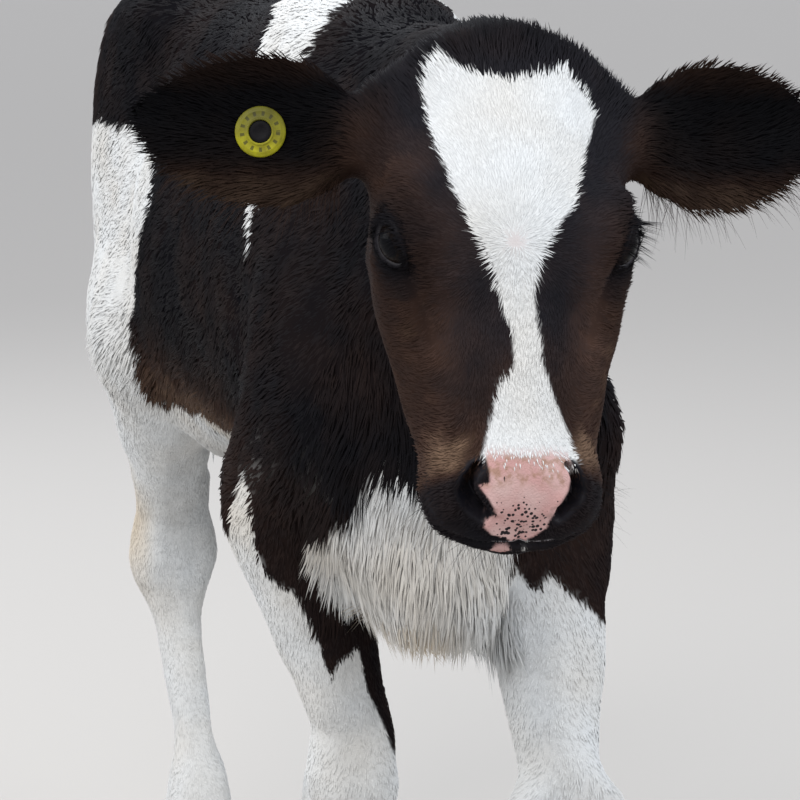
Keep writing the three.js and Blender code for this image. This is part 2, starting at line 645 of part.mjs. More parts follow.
// The tag is a ring on the hollow face of the right ear and a disc on its back. A stud with a round
// head fills the ring, and its pin runs through a hole in the ear into the disc.
function placeTag(line, blade) {
  const centre = line.getPointAt(TAG_ALONG_EAR);
  const outward = line.getTangentAt(TAG_ALONG_EAR);
  const front = EAR_FACING.clone().addScaledVector(outward, -EAR_FACING.dot(outward)).normalize();
  const across = new THREE.Vector3().crossVectors(outward, front);
  const hollow = -0.6 * earCup(TAG_ALONG_EAR);
  const halfDepth = earDepth(TAG_ALONG_EAR) / 2;
  const frame = new THREE.Matrix4().makeBasis(outward, front, across);
  frame.setPosition(centre.addScaledVector(front, hollow));
  const drill = new THREE.CylinderGeometry(TAG_PIN_RADIUS + 0.4, TAG_PIN_RADIUS + 0.4, 40, 12);
  place(head, "ear_right", blade.subtract(toSolid(drill.applyMatrix4(frame))), HAIR_BROWN);

  const tag = new THREE.Group();
  tag.applyMatrix4(frame);
  head.add(tag);
  const face = halfDepth + TAG_STANDOFF;
  const back = -halfDepth - 0.6 - TAG_THICKNESS;
  const lathe = (profile, count = 16) =>
    new THREE.LatheGeometry(profile.map(([r, h]) => new THREE.Vector2(r, h)), count);
  place(tag, "tag_ring", lathe([
    [TAG_HOLE_RADIUS, face], [TAG_RADIUS - 0.6, face], [TAG_RADIUS, face + 0.6],
    [TAG_RADIUS, face + TAG_THICKNESS - 0.6], [TAG_RADIUS - 0.6, face + TAG_THICKNESS],
    [TAG_HOLE_RADIUS, face + TAG_THICKNESS], [TAG_HOLE_RADIUS, face]]), TAG_YELLOW, 0.45);
  place(tag, "tag_stud", lathe([
    [0, back + 0.4], [TAG_PIN_RADIUS, back + 0.4], [TAG_PIN_RADIUS, face + 0.2],
    [TAG_HOLE_RADIUS - 0.4, face + 0.2], [TAG_HOLE_RADIUS - 0.4, face + TAG_THICKNESS - 0.8],
    [0, face + TAG_THICKNESS - 0.8]], 12), TAG_BLACK, 0.4);
  place(tag, "tag_disc", lathe([
    [TAG_PIN_RADIUS + 0.3, back], [TAG_RADIUS - 0.6, back], [TAG_RADIUS, back + 0.6],
    [TAG_RADIUS, back + TAG_THICKNESS - 0.6], [TAG_RADIUS - 0.6, back + TAG_THICKNESS],
    [TAG_PIN_RADIUS + 0.3, back + TAG_THICKNESS], [TAG_PIN_RADIUS + 0.3, back]]), TAG_YELLOW, 0.45);
}

for (const side of SIDES) {
  const sign = side === "left" ? 1 : -1;
  const { line, blade } = ear(sign);
  if (side === "right") placeTag(line, blade);
  else place(head, `ear_${side}`, blade, HAIR_BROWN);
}

// ---------------------------------------------------------------- origin
// The calf is centred over the origin by its outer box.
const outline = new THREE.Box3().setFromObject(calf, true);
const middle = outline.getCenter(new THREE.Vector3());
calf.position.set(-middle.x, -middle.y, 0);

const model = new THREE.Group();
model.add(calf);
export default model;
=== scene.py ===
import json
import math
import bmesh
import bpy
import numpy as np
from mathutils import Matrix, Vector

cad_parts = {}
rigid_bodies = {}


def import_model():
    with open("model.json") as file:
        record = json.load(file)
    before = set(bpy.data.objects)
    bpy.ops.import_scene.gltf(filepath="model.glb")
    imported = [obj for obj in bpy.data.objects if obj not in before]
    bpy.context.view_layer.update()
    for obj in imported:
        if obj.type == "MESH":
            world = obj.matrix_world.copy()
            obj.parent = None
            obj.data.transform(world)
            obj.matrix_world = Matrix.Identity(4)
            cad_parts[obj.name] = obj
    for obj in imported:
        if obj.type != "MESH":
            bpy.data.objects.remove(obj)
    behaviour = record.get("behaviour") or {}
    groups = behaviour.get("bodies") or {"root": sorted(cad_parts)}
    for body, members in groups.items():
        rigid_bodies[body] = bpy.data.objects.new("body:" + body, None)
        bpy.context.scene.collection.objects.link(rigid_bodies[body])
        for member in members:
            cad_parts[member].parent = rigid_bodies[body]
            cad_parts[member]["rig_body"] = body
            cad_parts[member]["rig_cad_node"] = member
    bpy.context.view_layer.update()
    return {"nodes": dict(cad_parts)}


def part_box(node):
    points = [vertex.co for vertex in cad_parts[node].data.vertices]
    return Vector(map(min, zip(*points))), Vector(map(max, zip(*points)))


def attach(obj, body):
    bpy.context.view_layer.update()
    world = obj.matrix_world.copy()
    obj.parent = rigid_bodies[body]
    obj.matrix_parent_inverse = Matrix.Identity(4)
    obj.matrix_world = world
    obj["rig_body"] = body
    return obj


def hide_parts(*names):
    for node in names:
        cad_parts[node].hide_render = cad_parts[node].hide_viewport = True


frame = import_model()
bpy.ops.object.select_all(action="DESELECT")

# ---- Camera
# A long lens at the height of the calf's back, in front of it and a little to its right.


def placed(name, data):
    """Puts an object that holds this camera, lamp or mesh into the scene, at the origin."""
    thing = bpy.data.objects.new(name, data)
    bpy.context.scene.collection.objects.link(thing)
    return thing


camera_data = bpy.data.cameras.new("portrait")
camera_data.sensor_width = 36.0
camera_data.lens = 117.45
camera_data.clip_end = 2000.0
camera = placed("portrait", camera_data)
camera.location = (-0.4439, -1.91457, 0.870)
camera.rotation_euler = (math.radians(80.6), 0.0, math.radians(-15.1))
bpy.context.scene.camera = camera

# ---- Studio
# A wide pale floor under a soft overcast sky, with a broad light from above the camera, weaker
# ones on either flank and one behind, so that the black coat still shows its form.
sky = bpy.data.worlds.new("overcast")
bpy.context.scene.world = sky
bpy.context.scene.view_settings.view_transform = "Standard"
sky.use_nodes = True
cloud = sky.node_tree.nodes["Background"]
cloud.inputs["Color"].default_value = (0.91, 0.94, 1.0, 1.0)
cloud.inputs["Strength"].default_value = 1.0
bpy.ops.mesh.primitive_plane_add(size=900.0, location=(0.0, 0.0, 0.0))
floor = bpy.context.object
floor.name = "floor"
paint = bpy.data.materials.new("pale_floor")
paint.use_nodes = True
paint_shader = paint.node_tree.nodes["Principled BSDF"]
paint_shader.inputs["Base Color"].default_value = (0.47, 0.45, 0.425, 1.0)
paint_shader.inputs["Roughness"].default_value = 0.9
floor.data.materials.append(paint)
LIT = (0.0, -0.2, 0.55)  # the place in the chest at which every lamp is aimed
for title, place, size, power, colour in [
        ("key", (-2.2, -2.3, 3.5), 3.0, 100.0, (1.0, 0.99, 0.97)),
        ("fill", (2.6, -1.6, 1.9), 2.0, 45.0, (0.9, 0.95, 1.0)),
        ("flank", (-3.0, 0.6, 1.7), 2.0, 30.0, (1.0, 0.99, 0.98)),
        ("rim", (-0.6, 2.6, 2.8), 2.2, 42.0, (0.92, 0.96, 1.0))]:
    lamp = bpy.data.lights.new(title, "AREA")
    lamp.size = size
    lamp.energy = power
    lamp.color = colour
    holder = placed(title, lamp)
    holder.location = place
    aim = Vector(LIT) - Vector(place)
    holder.rotation_euler = aim.to_track_quat("-Z", "Y").to_euler()

# ---- Skin, its form
# The hide under the coat: one closed sheet over head, neck, trunk, legs, ears and tail. It is made
# of swollen copies of the flesh nodes, grown together, smoothed and drawn in by the coat's depth.
FLESH = [name for name in frame["nodes"] if name == "tail" or name.startswith((
    "trunk", "neck", "head", "lower_jaw", "ear_", "foreleg", "hindleg"))]
MIDLINE = np.array([0.031101, 0.100434, 0.0])  # the calf's own midline in the frame
POLL = np.array([-35.0, -612.0, 846.0])  # top of the head, in millimetres from that midline
turn = Matrix.Rotation(math.radians(-6.0), 3, "Z") @ Matrix.Rotation(math.radians(1.5), 3, "Y")
HEAD_AXES = np.array(turn @ Matrix.Rotation(math.radians(62.0), 3, "X"))
EYE = np.array([56.0, -122.0, -36.0])  # left eye in the head's axes
EYE_AIM = math.radians(27.0)
EYE_RADIUS = 0.017
WELD = 0.00002  # how near the loose corners of a CAD node's triangles lie to each other


def in_body(points):
    """Millimetres from the midline: X to the calf's left, -Y to its front, Z up."""
    return (points - MIDLINE) * 1000.0


def in_head(body):
    """Millimetres from the poll: X to the left, -Y to the muzzle, Z out of the forehead."""
    return (body - POLL) @ HEAD_AXES


def from_head(points):
    return (points @ HEAD_AXES.T + POLL) / 1000.0 + MIDLINE


def ramp(value, low, high):
    """Rises smoothly from 0 at low to 1 at high."""
    part = np.clip((value - low) / (high - low), 0.0, 1.0)
    return part * part * (3.0 - 2.0 * part)


def wobble(points, size, seed):
    """A smooth random field between -1 and 1, with bumps about as wide as size."""
    scaled = points / size + 100.0
    cell = np.floor(scaled).astype(np.int64)
    part = scaled - cell
    part = part * part * (3.0 - 2.0 * part)
    total = np.zeros(len(points))
    for corner in range(8):
        step = np.array([corner & 1, corner >> 1 & 1, corner >> 2])
        key = ((cell + step) * np.array([73856093, 19349663, 83492791])).sum(1) + seed * 7919
        key = ((key ^ key >> 13) * 1274126177) & 0xFFFFFFFF
        key = ((key ^ key >> 15) * 668265263) & 0xFFFFFFFF
        share = np.where(step, part, 1.0 - part).prod(1)
        total += share * (key / 0xFFFFFFFF * 2.0 - 1.0)
    return total


def hump(*directions):
    """Falls smoothly from 1, over a (value, middle, width) for each direction."""
    return np.exp(-sum(((value - middle) / width) ** 2 for value, middle, width in directions))


def side_by_side(*values):
    """Puts single numbers or rows of them side by side, as the columns of one array."""
    return np.stack(np.broadcast_arrays(*values), axis=1)


def both_sides(points):
    """The same places, with those on the right turned over onto the left."""
    return np.abs(points) * [1, 0, 0] + points * [0, 1, 1]


def points_of(mesh):
    flat = np.empty(len(mesh.vertices) * 3)
    mesh.vertices.foreach_get("co", flat)
    return flat.reshape(-1, 3)


def normals_of(mesh):
    flat = np.empty(len(mesh.vertices) * 3, np.float32)
    mesh.vertices.foreach_get("normal", flat)
    return flat.reshape(-1, 3).astype(float)


def put_points(mesh, points):
    mesh.vertices.foreach_set("co", points.astype(np.float32).ravel())
    mesh.update()


def loose_copy(name, title):
    """A copy of a CAD node with no tie to the CAD, and its welded mesh opened for shaping."""
    copied = frame["nodes"][name].copy()
    copied.data = copied.data.copy()
    copied.name = title
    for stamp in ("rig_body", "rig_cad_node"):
        if stamp in copied:
            del copied[stamp]
    bpy.context.scene.collection.objects.link(copied)
    shape = bmesh.new()
    shape.from_mesh(copied.data)
    bmesh.ops.remove_doubles(shape, verts=shape.verts, dist=WELD)
    return copied, shape


SWELLING = 0.0007  # closes the thin cuts between the flesh nodes
parts = []
for name in FLESH:
    part, shape = loose_copy(name, "flesh_" + name)
    bmesh.ops.recalc_face_normals(shape, faces=shape.faces)
    shape.to_mesh(part.data)
    shape.free()
    put_points(part.data, points_of(part.data) + normals_of(part.data) * SWELLING)
    parts.append(part)
for sign in (1, -1):  # fills the eye socket, so that the hide runs on behind the eyeball
    middle = from_head(EYE * [sign, 1, 1])
    bpy.ops.mesh.primitive_ico_sphere_add(subdivisions=4, radius=0.0146, location=middle)
    parts.append(bpy.context.object)
for part in parts:
    part.select_set(True)
bpy.context.view_layer.objects.active = parts[0]
bpy.ops.object.parent_clear(type="CLEAR_KEEP_TRANSFORM")
bpy.ops.object.join()
skin = bpy.context.object
skin.name = "skin"
skin.data.name = "skin"
knit = skin.modifiers.new("knit", "REMESH")
knit.mode = "VOXEL"
knit.voxel_size = 0.0023
bpy.ops.object.modifier_apply(modifier="knit")


def regions(points):
    """Body and head coordinates, and soft masks of the skull, ears, legs and tail."""
    body = in_body(points)
    head = in_head(body)
    past_neck = (62.0 + head[:, 2] + 12.0 - head[:, 1]) / math.sqrt(2.0)
    skull = ramp(past_neck, -12.0, 22.0) * (head[:, 2] > -190.0) * (np.abs(head[:, 0]) < 240.0)
    ear = skull * ramp(np.abs(head[:, 0]), 76.0, 92.0)
    tail = (body[:, 1] > 462.0) * (np.abs(body[:, 0]) < 60.0) * 1.0
    leg = ramp(-body[:, 2], -540.0, -440.0) * (1 - tail) * (1 - skull)
    leg *= 1.0 - ramp(-np.abs(body[:, 0]), -30.0, -20.0) * (body[:, 2] > 410.0)
    return body, head, skull, ear, leg, tail


spots = points_of(skin.data)
body, head, skull, ear, leg, tail = regions(spots)
links = np.empty(len(skin.data.edges) * 2, np.int32)
skin.data.edges.foreach_get("vertices", links)
links = links.reshape(-1, 2)
degree = np.bincount(links.ravel(), minlength=len(spots))[:, None]


def relaxed(points, pull):
    """Each point moves its own share of the way to the middle of its neighbours."""
    total = np.empty_like(points)
    for axis in range(3):
        column = points[:, axis]
        total[:, axis] = np.bincount(links[:, 0], column[links[:, 1]], len(points))
        total[:, axis] += np.bincount(links[:, 1], column[links[:, 0]], len(points))
    return points + pull[:, None] * (total / degree - points)


looseness = 0.62 * (1 - skull) * (1 - 0.72 * leg) * (1 - 0.9 * tail)
looseness = looseness + 0.13 * skull * (1 - 0.7 * ear)
looseness += 0.3 * leg * (body[:, 1] < 0) * hump((body[:, 2], 256.0, 18.0))  # below the knees
rounds = 110
for _ in range(rounds):
    spots = relaxed(spots, looseness)
put_points(skin.data, spots)

# The coat is deepest on the trunk, thin on the legs and face, and the nose is bare.
body, head, skull, ear, leg, tail = regions(spots)
muzzle = skull * ramp(-head[:, 1], 225.0, 262.0)
from_eye = np.linalg.norm(both_sides(head) - EYE, axis=1)
depth = 0.0042 * (1 - leg) * (1 - skull) + 0.0026 * leg * (1 - skull)
depth += skull * (0.0022 * (1 - muzzle) + 0.0006 * muzzle) * (1 - 0.6 * ear)
depth *= ramp(from_eye, 17.0, 34.0) * 0.85 + 0.15
depth *= 1 - 0.5 * tail
spots = spots - normals_of(skin.data) * depth[:, None]
put_points(skin.data, spots)

# The nose, lips and eye rims get a finer mesh before they are shaped.
bpy.ops.object.mode_set(mode="EDIT")
bpy.ops.mesh.select_all(action="DESELECT")
bpy.ops.object.mode_set(mode="OBJECT")
fine = (skull > 0.9) & ((head[:, 1] < -238.0) | (from_eye < 31.0)) & (ear < 0.1)
skin.data.vertices.foreach_set("select", fine)
ends = np.empty(len(skin.data.edges) * 2, np.int32)
skin.data.edges.foreach_get("vertices", ends)
skin.data.edges.foreach_set("select", fine[ends.reshape(-1, 2)].all(1))
bpy.ops.object.mode_set(mode="EDIT")
bpy.ops.mesh.subdivide(number_cuts=1, smoothness=0.6)
bpy.ops.object.mode_set(mode="OBJECT")
spots = points_of(skin.data)

# Folds pressed into the hide, as a sculptor would: nostrils, the mouth, the groove below each
# eye, the dip over the muzzle, wrinkles where the neck turns, and hollows behind the shoulder.
normals = normals_of(skin.data)
body, head, skull, ear, leg, tail = regions(spots)
side = np.sign(head[:, 0])
mirrored = both_sides(head)
push = np.zeros_like(spots)  # millimetres, along the head's axes
lift = np.zeros(len(spots))  # millimetres, along the normal


def near_line(points, start, end):
    """Distance from a straight run, and the place along it from 0 to 1."""
    run = np.array(end) - np.array(start)
    along = np.clip((points - start) @ run / (run @ run), 0.0, 1.0)
    return np.linalg.norm(points - start - along[:, None] * run, axis=1), along


def near_path(points, path):
    """Distance from a bent run, and the place along it from 0 to 1."""
    best, where = None, None
    for number, (start, end) in enumerate(zip(path, path[1:])):
        gap, part = near_line(points, start, end)
        part = (number + part) / (len(path) - 1)
        if best is None:
            best, where = gap, part
        else:
            where = np.where(gap < best, part, where)
            best = np.minimum(gap, best)
    return best, where


def fold(mask, points, rise, width, *path):
    """Millimetres that the hide rises, or sinks where rise is negative, along a bent run."""
    return mask * rise * hump((near_path(points, path)[0], 0.0, width))


NOSTRIL = [(25.5, -254.0, -39.0), (29.2, -260.0, -42.5), (30.2, -266.5, -45.5),
           (27.0, -272.5, -47.5), (22.0, -277.0, -49.0)]
NOSTRIL_DEPTH = (-3.0, 9.0, -8.0)  # inwards, back and down from the left nostril's rim
slit, along = near_path(mirrored, NOSTRIL)
wide = 2.3 + 1.9 * np.sin(np.pi * np.clip(1.15 - along, 0.0, 1.0))
inside = np.exp(-(slit / wide) ** 2 * 1.1)
push += skull[:, None] * inside[:, None] * side_by_side(NOSTRIL_DEPTH[0] * side, *NOSTRIL_DEPTH[1:])
lift += fold(skull, mirrored, 2.2, 3.2, (23.0, -258.0, -38.0), (24.5, -264.0, -41.0),
             (20.0, -271.0, -42.0), (15.0, -277.0, -46.0))  # inner wing of the nostril
lift += fold(skull, mirrored, 2.0, 3.6, (31.0, -252.0, -42.0), (36.5, -261.0, -48.0),
             (33.5, -271.0, -52.0))  # outer wing
lift += fold(skull, mirrored, -2.2, 1.7, (22.5, -272.5, -44.5), (16.0, -276.5, -45.0),
             (14.5, -279.0, -48.5))  # crease that runs on from the nostril
lift += fold(skull, mirrored, 1.2, 4.0, (19.0, -281.0, -55.5), (13.0, -284.0, -58.0))  # lip's lobe
mouth_height = -65.0 - 0.0042 * head[:, 0] ** 2 + 0.13 * (head[:, 1] + 289.0) * -1.0
above_mouth = head[:, 2] - mouth_height
lift -= skull * 5.0 * (hump((above_mouth, 0.0, 1.5)) * ramp(-head[:, 1], 214.0, 232.0))
lift += skull * 1.2 * (hump((above_mouth, 4.5, 3.0)) * ramp(-head[:, 1], 220.0, 250.0))
lift += skull * 1.3 * (hump((above_mouth, -6.5, 4.0)) * ramp(-head[:, 1], 240.0, 265.0))
groove = hump((head[:, 0], 0.0, 2.4)) * ramp(-head[:, 1], 280.0, 288.0)
lift -= skull * 1.4 * groove * (head[:, 2] > -68.0)
for rise, width, start, end in (
        (-3.2, 6.5, (60.0, -146.0, -34.0), (47.0, -176.0, -42.0)),  # tear groove
        (1.8, 6.0, (70.0, -128.0, -56.0), (54.0, -160.0, -50.0)),  # pouch below the eye
        (2.6, 9.0, (66.0, -100.0, -26.0), (52.0, -132.0, -18.0)),  # brow
        (-2.6, 13.0, (34.0, -168.0, -34.0), (30.0, -214.0, -44.0)),  # dip beside the muzzle
        (1.2, 4.0, (52.0, -170.0, -74.0), (40.0, -206.0, -86.0))):  # vein
    lift += fold(skull, mirrored, rise, width, start, end)
neck_fold = np.sin((body[:, 1] + 0.45 * body[:, 2] + 14 * wobble(body, 90.0, 3)) / 11.5)
at_neck = ramp(-body[:, 1], 330.0, 420.0) * (1 - skull) * ramp(body[:, 2], 560.0, 640.0)
lift += 1.5 * neck_fold * at_neck * ramp(wobble(body, 60.0, 5), -0.3, 0.5)
torso = (1 - skull) * (1 - leg) * (1 - tail)
lift += fold(torso, both_sides(body), -4.0, 20.0, (70.0, -196.0, 790.0), (104.0, -214.0, 600.0))
lift += fold(torso, both_sides(body), -6.0, 38.0, (112.0, 150.0, 760.0), (120.0, 170.0, 640.0))
ribs = np.sin(body[:, 1] / 11.0) * ramp(body[:, 1], -150.0, -80.0)
ribs = ribs * ramp(-body[:, 1], -110.0, -40.0)
lift += torso * 0.8 * ribs * ramp(body[:, 2], 560.0, 640.0) * ramp(-body[:, 2], -800.0, -740.0)
spots = spots + normals * lift[:, None] / 1000.0 + push @ HEAD_AXES.T / 1000.0
put_points(skin.data, spots)

# The lids' own opening: inside it the hide sinks behind the eyeball, and round it the hide thins
# to the lids that hug the ball.
EYE_RISE = math.radians(24.0)  # the line of sight lifts from the head's own level
LID_CORNER = math.radians(45.0)  # from the line of sight to each corner of the eye
LID_TOP = math.radians(29.0)
LID_BOTTOM = math.radians(29.0)
LID_TILT = 0.20  # how far the inner corner lies below the outer one


def eye_frame(sign):
    """Centre, line of sight, direction to the inner corner, and up, all in the frame."""
    centre = from_head(EYE * [sign, 1, 1])
    level = np.array([sign * math.cos(EYE_AIM), -math.sin(EYE_AIM), 0.0])
    sight = level * math.cos(EYE_RISE) + np.array([0.0, 0.0, math.sin(EYE_RISE)])
    up = np.array([0.0, 0.0, math.cos(EYE_RISE)]) - level * math.sin(EYE_RISE)
    inner = np.array([-sign * math.sin(EYE_AIM), -math.cos(EYE_AIM), 0.0])
    return centre, HEAD_AXES @ sight, HEAD_AXES @ inner, HEAD_AXES @ up


for sign in (1, -1):
    centre, sight, inner, up = eye_frame(sign)
    away = spots - centre
    reach = np.linalg.norm(away, axis=1)
    ahead, aside, above = away @ sight, away @ inner, away @ up
    across = np.arctan2(aside, ahead)
    rise = np.arcsin(np.clip(above / reach, -1.0, 1.0)) + LID_TILT * LID_TOP * across / LID_CORNER
    gap = np.hypot(across / LID_CORNER, rise / np.where(rise > 0, LID_TOP, LID_BOTTOM))
    near = (reach < 0.045) & (ahead > 0)
    sunk = np.minimum(reach, 0.0135)
    thin = EYE_RADIUS + 0.0012 + 0.0012 * ramp(gap, 1.0, 1.6)
    hugging = np.minimum(reach, thin + (reach - thin) * ramp(gap, 1.15, 1.9))
    target = sunk + (hugging - sunk) * ramp(gap, 0.94, 1.06)
    target = np.where(near, target, reach)
    spots = centre + away * (target / reach)[:, None]
put_points(skin.data, spots)

# Fewer, larger triangles on the trunk and legs, where the coat hides them.
SKIN_TRIANGLES = 176000
keep = skin.vertex_groups.new(name="fine")
fine = np.clip(0.7 * skull + 0.3 * skull * (head[:, 1] < -225.0) + 0.2 * leg, 0.0, 1.0)
for level in range(11):
    chosen = np.nonzero(np.round(fine * 10) == level)[0]
    keep.add(chosen.tolist(), level / 10, "REPLACE")
thin = skin.modifiers.new("thin", "DECIMATE")
thin.ratio = min(1.0, SKIN_TRIANGLES / (2 * len(skin.data.polygons)))
thin.vertex_group = "fine"
thin.invert_vertex_group = True
thin.vertex_group_factor = 1.2
thin.use_collapse_triangulate = True
bpy.ops.object.modifier_apply(modifier="thin")
skin.vertex_groups.clear()
bpy.ops.object.shade_smooth()

# ---- Skin, eyelids
# Thick dark lids that hug each eyeball in an almond-shaped opening. Each is a ring of rounded
# profiles whose outer edge is sunk in the hide, and both are joined to the skin.


def lid_place(sign, angle, radius, outwards):
    """A point beside the eye's opening, outwards from the margin in metres."""
    centre, sight, inner, up = eye_frame(sign)
    high = LID_TOP if math.sin(angle) > 0 else LID_BOTTOM
    spread = 1.0 + outwards / 0.0115
    across = LID_CORNER * math.cos(angle) * (1.0 + outwards / 0.019)
    rise = high * math.sin(angle) * abs(math.sin(angle)) ** 0.25 * spread
    rise -= LID_TILT * LID_TOP * math.cos(angle)
    ray = sight * math.cos(across) * math.cos(rise) + inner * math.sin(across) + up * math.sin(rise)
    return centre + ray / np.linalg.norm(ray) * radius


LID_RIM = [(-0.0012, -0.0002), (0.0004, 0.0), (0.0014, 0.0006), (0.0022, 0.002), (0.0023, 0.0038),
           (0.0012, 0.0056), (0.0019, 0.0076), (0.0006, 0.0105), (-0.004, 0.0135)]
LID_STEPS = 64
for sign in (1, -1):
    bpy.ops.object.select_all(action="DESELECT")
    lid = placed("lid", bpy.data.meshes.new("lid"))
    shape = bmesh.new()
    rings = []
    for rise, outwards in LID_RIM:  # over the eyeball and outwards from the margin, in metres
        ring = []
        for step in range(LID_STEPS):
            angle = math.tau * step / LID_STEPS
            upper = 1.0 + 0.55 * max(0.0, math.sin(angle))
            radius = EYE_RADIUS + (rise * upper if rise > 0 else rise)
            ring.append(shape.verts.new(lid_place(sign, angle, radius, outwards)))
        rings.append(ring)
    for low, high in zip(rings, rings[1:]):
        for step in range(LID_STEPS):
            after = (step + 1) % LID_STEPS
            shape.faces.new((low[step], low[after], high[after], high[step]))
    bmesh.ops.triangulate(shape, faces=shape.faces)
    bmesh.ops.recalc_face_normals(shape, faces=shape.faces)
    middle = Vector(eye_frame(sign)[0])
    if sum(face.normal.dot(face.calc_center_median() - middle) for face in shape.faces) < 0:
        bmesh.ops.reverse_faces(shape, faces=shape.faces)
    shape.to_mesh(lid.data)
    shape.free()
    lid.select_set(True)
    skin.select_set(True)
    bpy.context.view_layer.objects.active = skin
    bpy.ops.object.join()
bpy.ops.object.shade_smooth()

# ---- Skin, markings and finish
# Black and white hair with a warm brown cast, yellowed where it is long or soiled, and bare pink
# and dark skin at the nose, lips and eyes. Skin and coat read the same functions of place.


def curve(value, table):
    """Reads a table of (place, size) pairs, drawn in straight runs."""
    table = sorted(table)
    return np.interp(value, [row[0] for row in table], [row[1] for row in table])


def lid_gap(points):
    """Millimetres outwards from the margin of the nearer eye's lids, and the height beside it."""
    best, height = np.full(len(points), 99.0), np.zeros(len(points))
    for sign in (1, -1):
        centre, sight, inner, up = eye_frame(sign)
        away = points - centre
        reach = np.linalg.norm(away, axis=1) + 1e-9
        across = np.arctan2(away @ inner, away @ sight) / LID_CORNER
        rise = np.arcsin(np.clip(away @ up / reach, -1.0, 1.0)) / LID_TOP + LID_TILT * across
        gap = 14.0 * (np.sqrt(across ** 2 + np.abs(rise) ** 1.6) - 1.0)
        near = (reach < 0.034) & (away @ sight > 0.0)
        best, height = np.where(near, gap, best), np.where(near, rise, height)
    return best, height


def over_ear_middle(head):
    """Millimetres above each ear's own middle line."""
    return head[:, 1] + 50.0 - 0.1 * (np.abs(head[:, 0]) - 80.0)


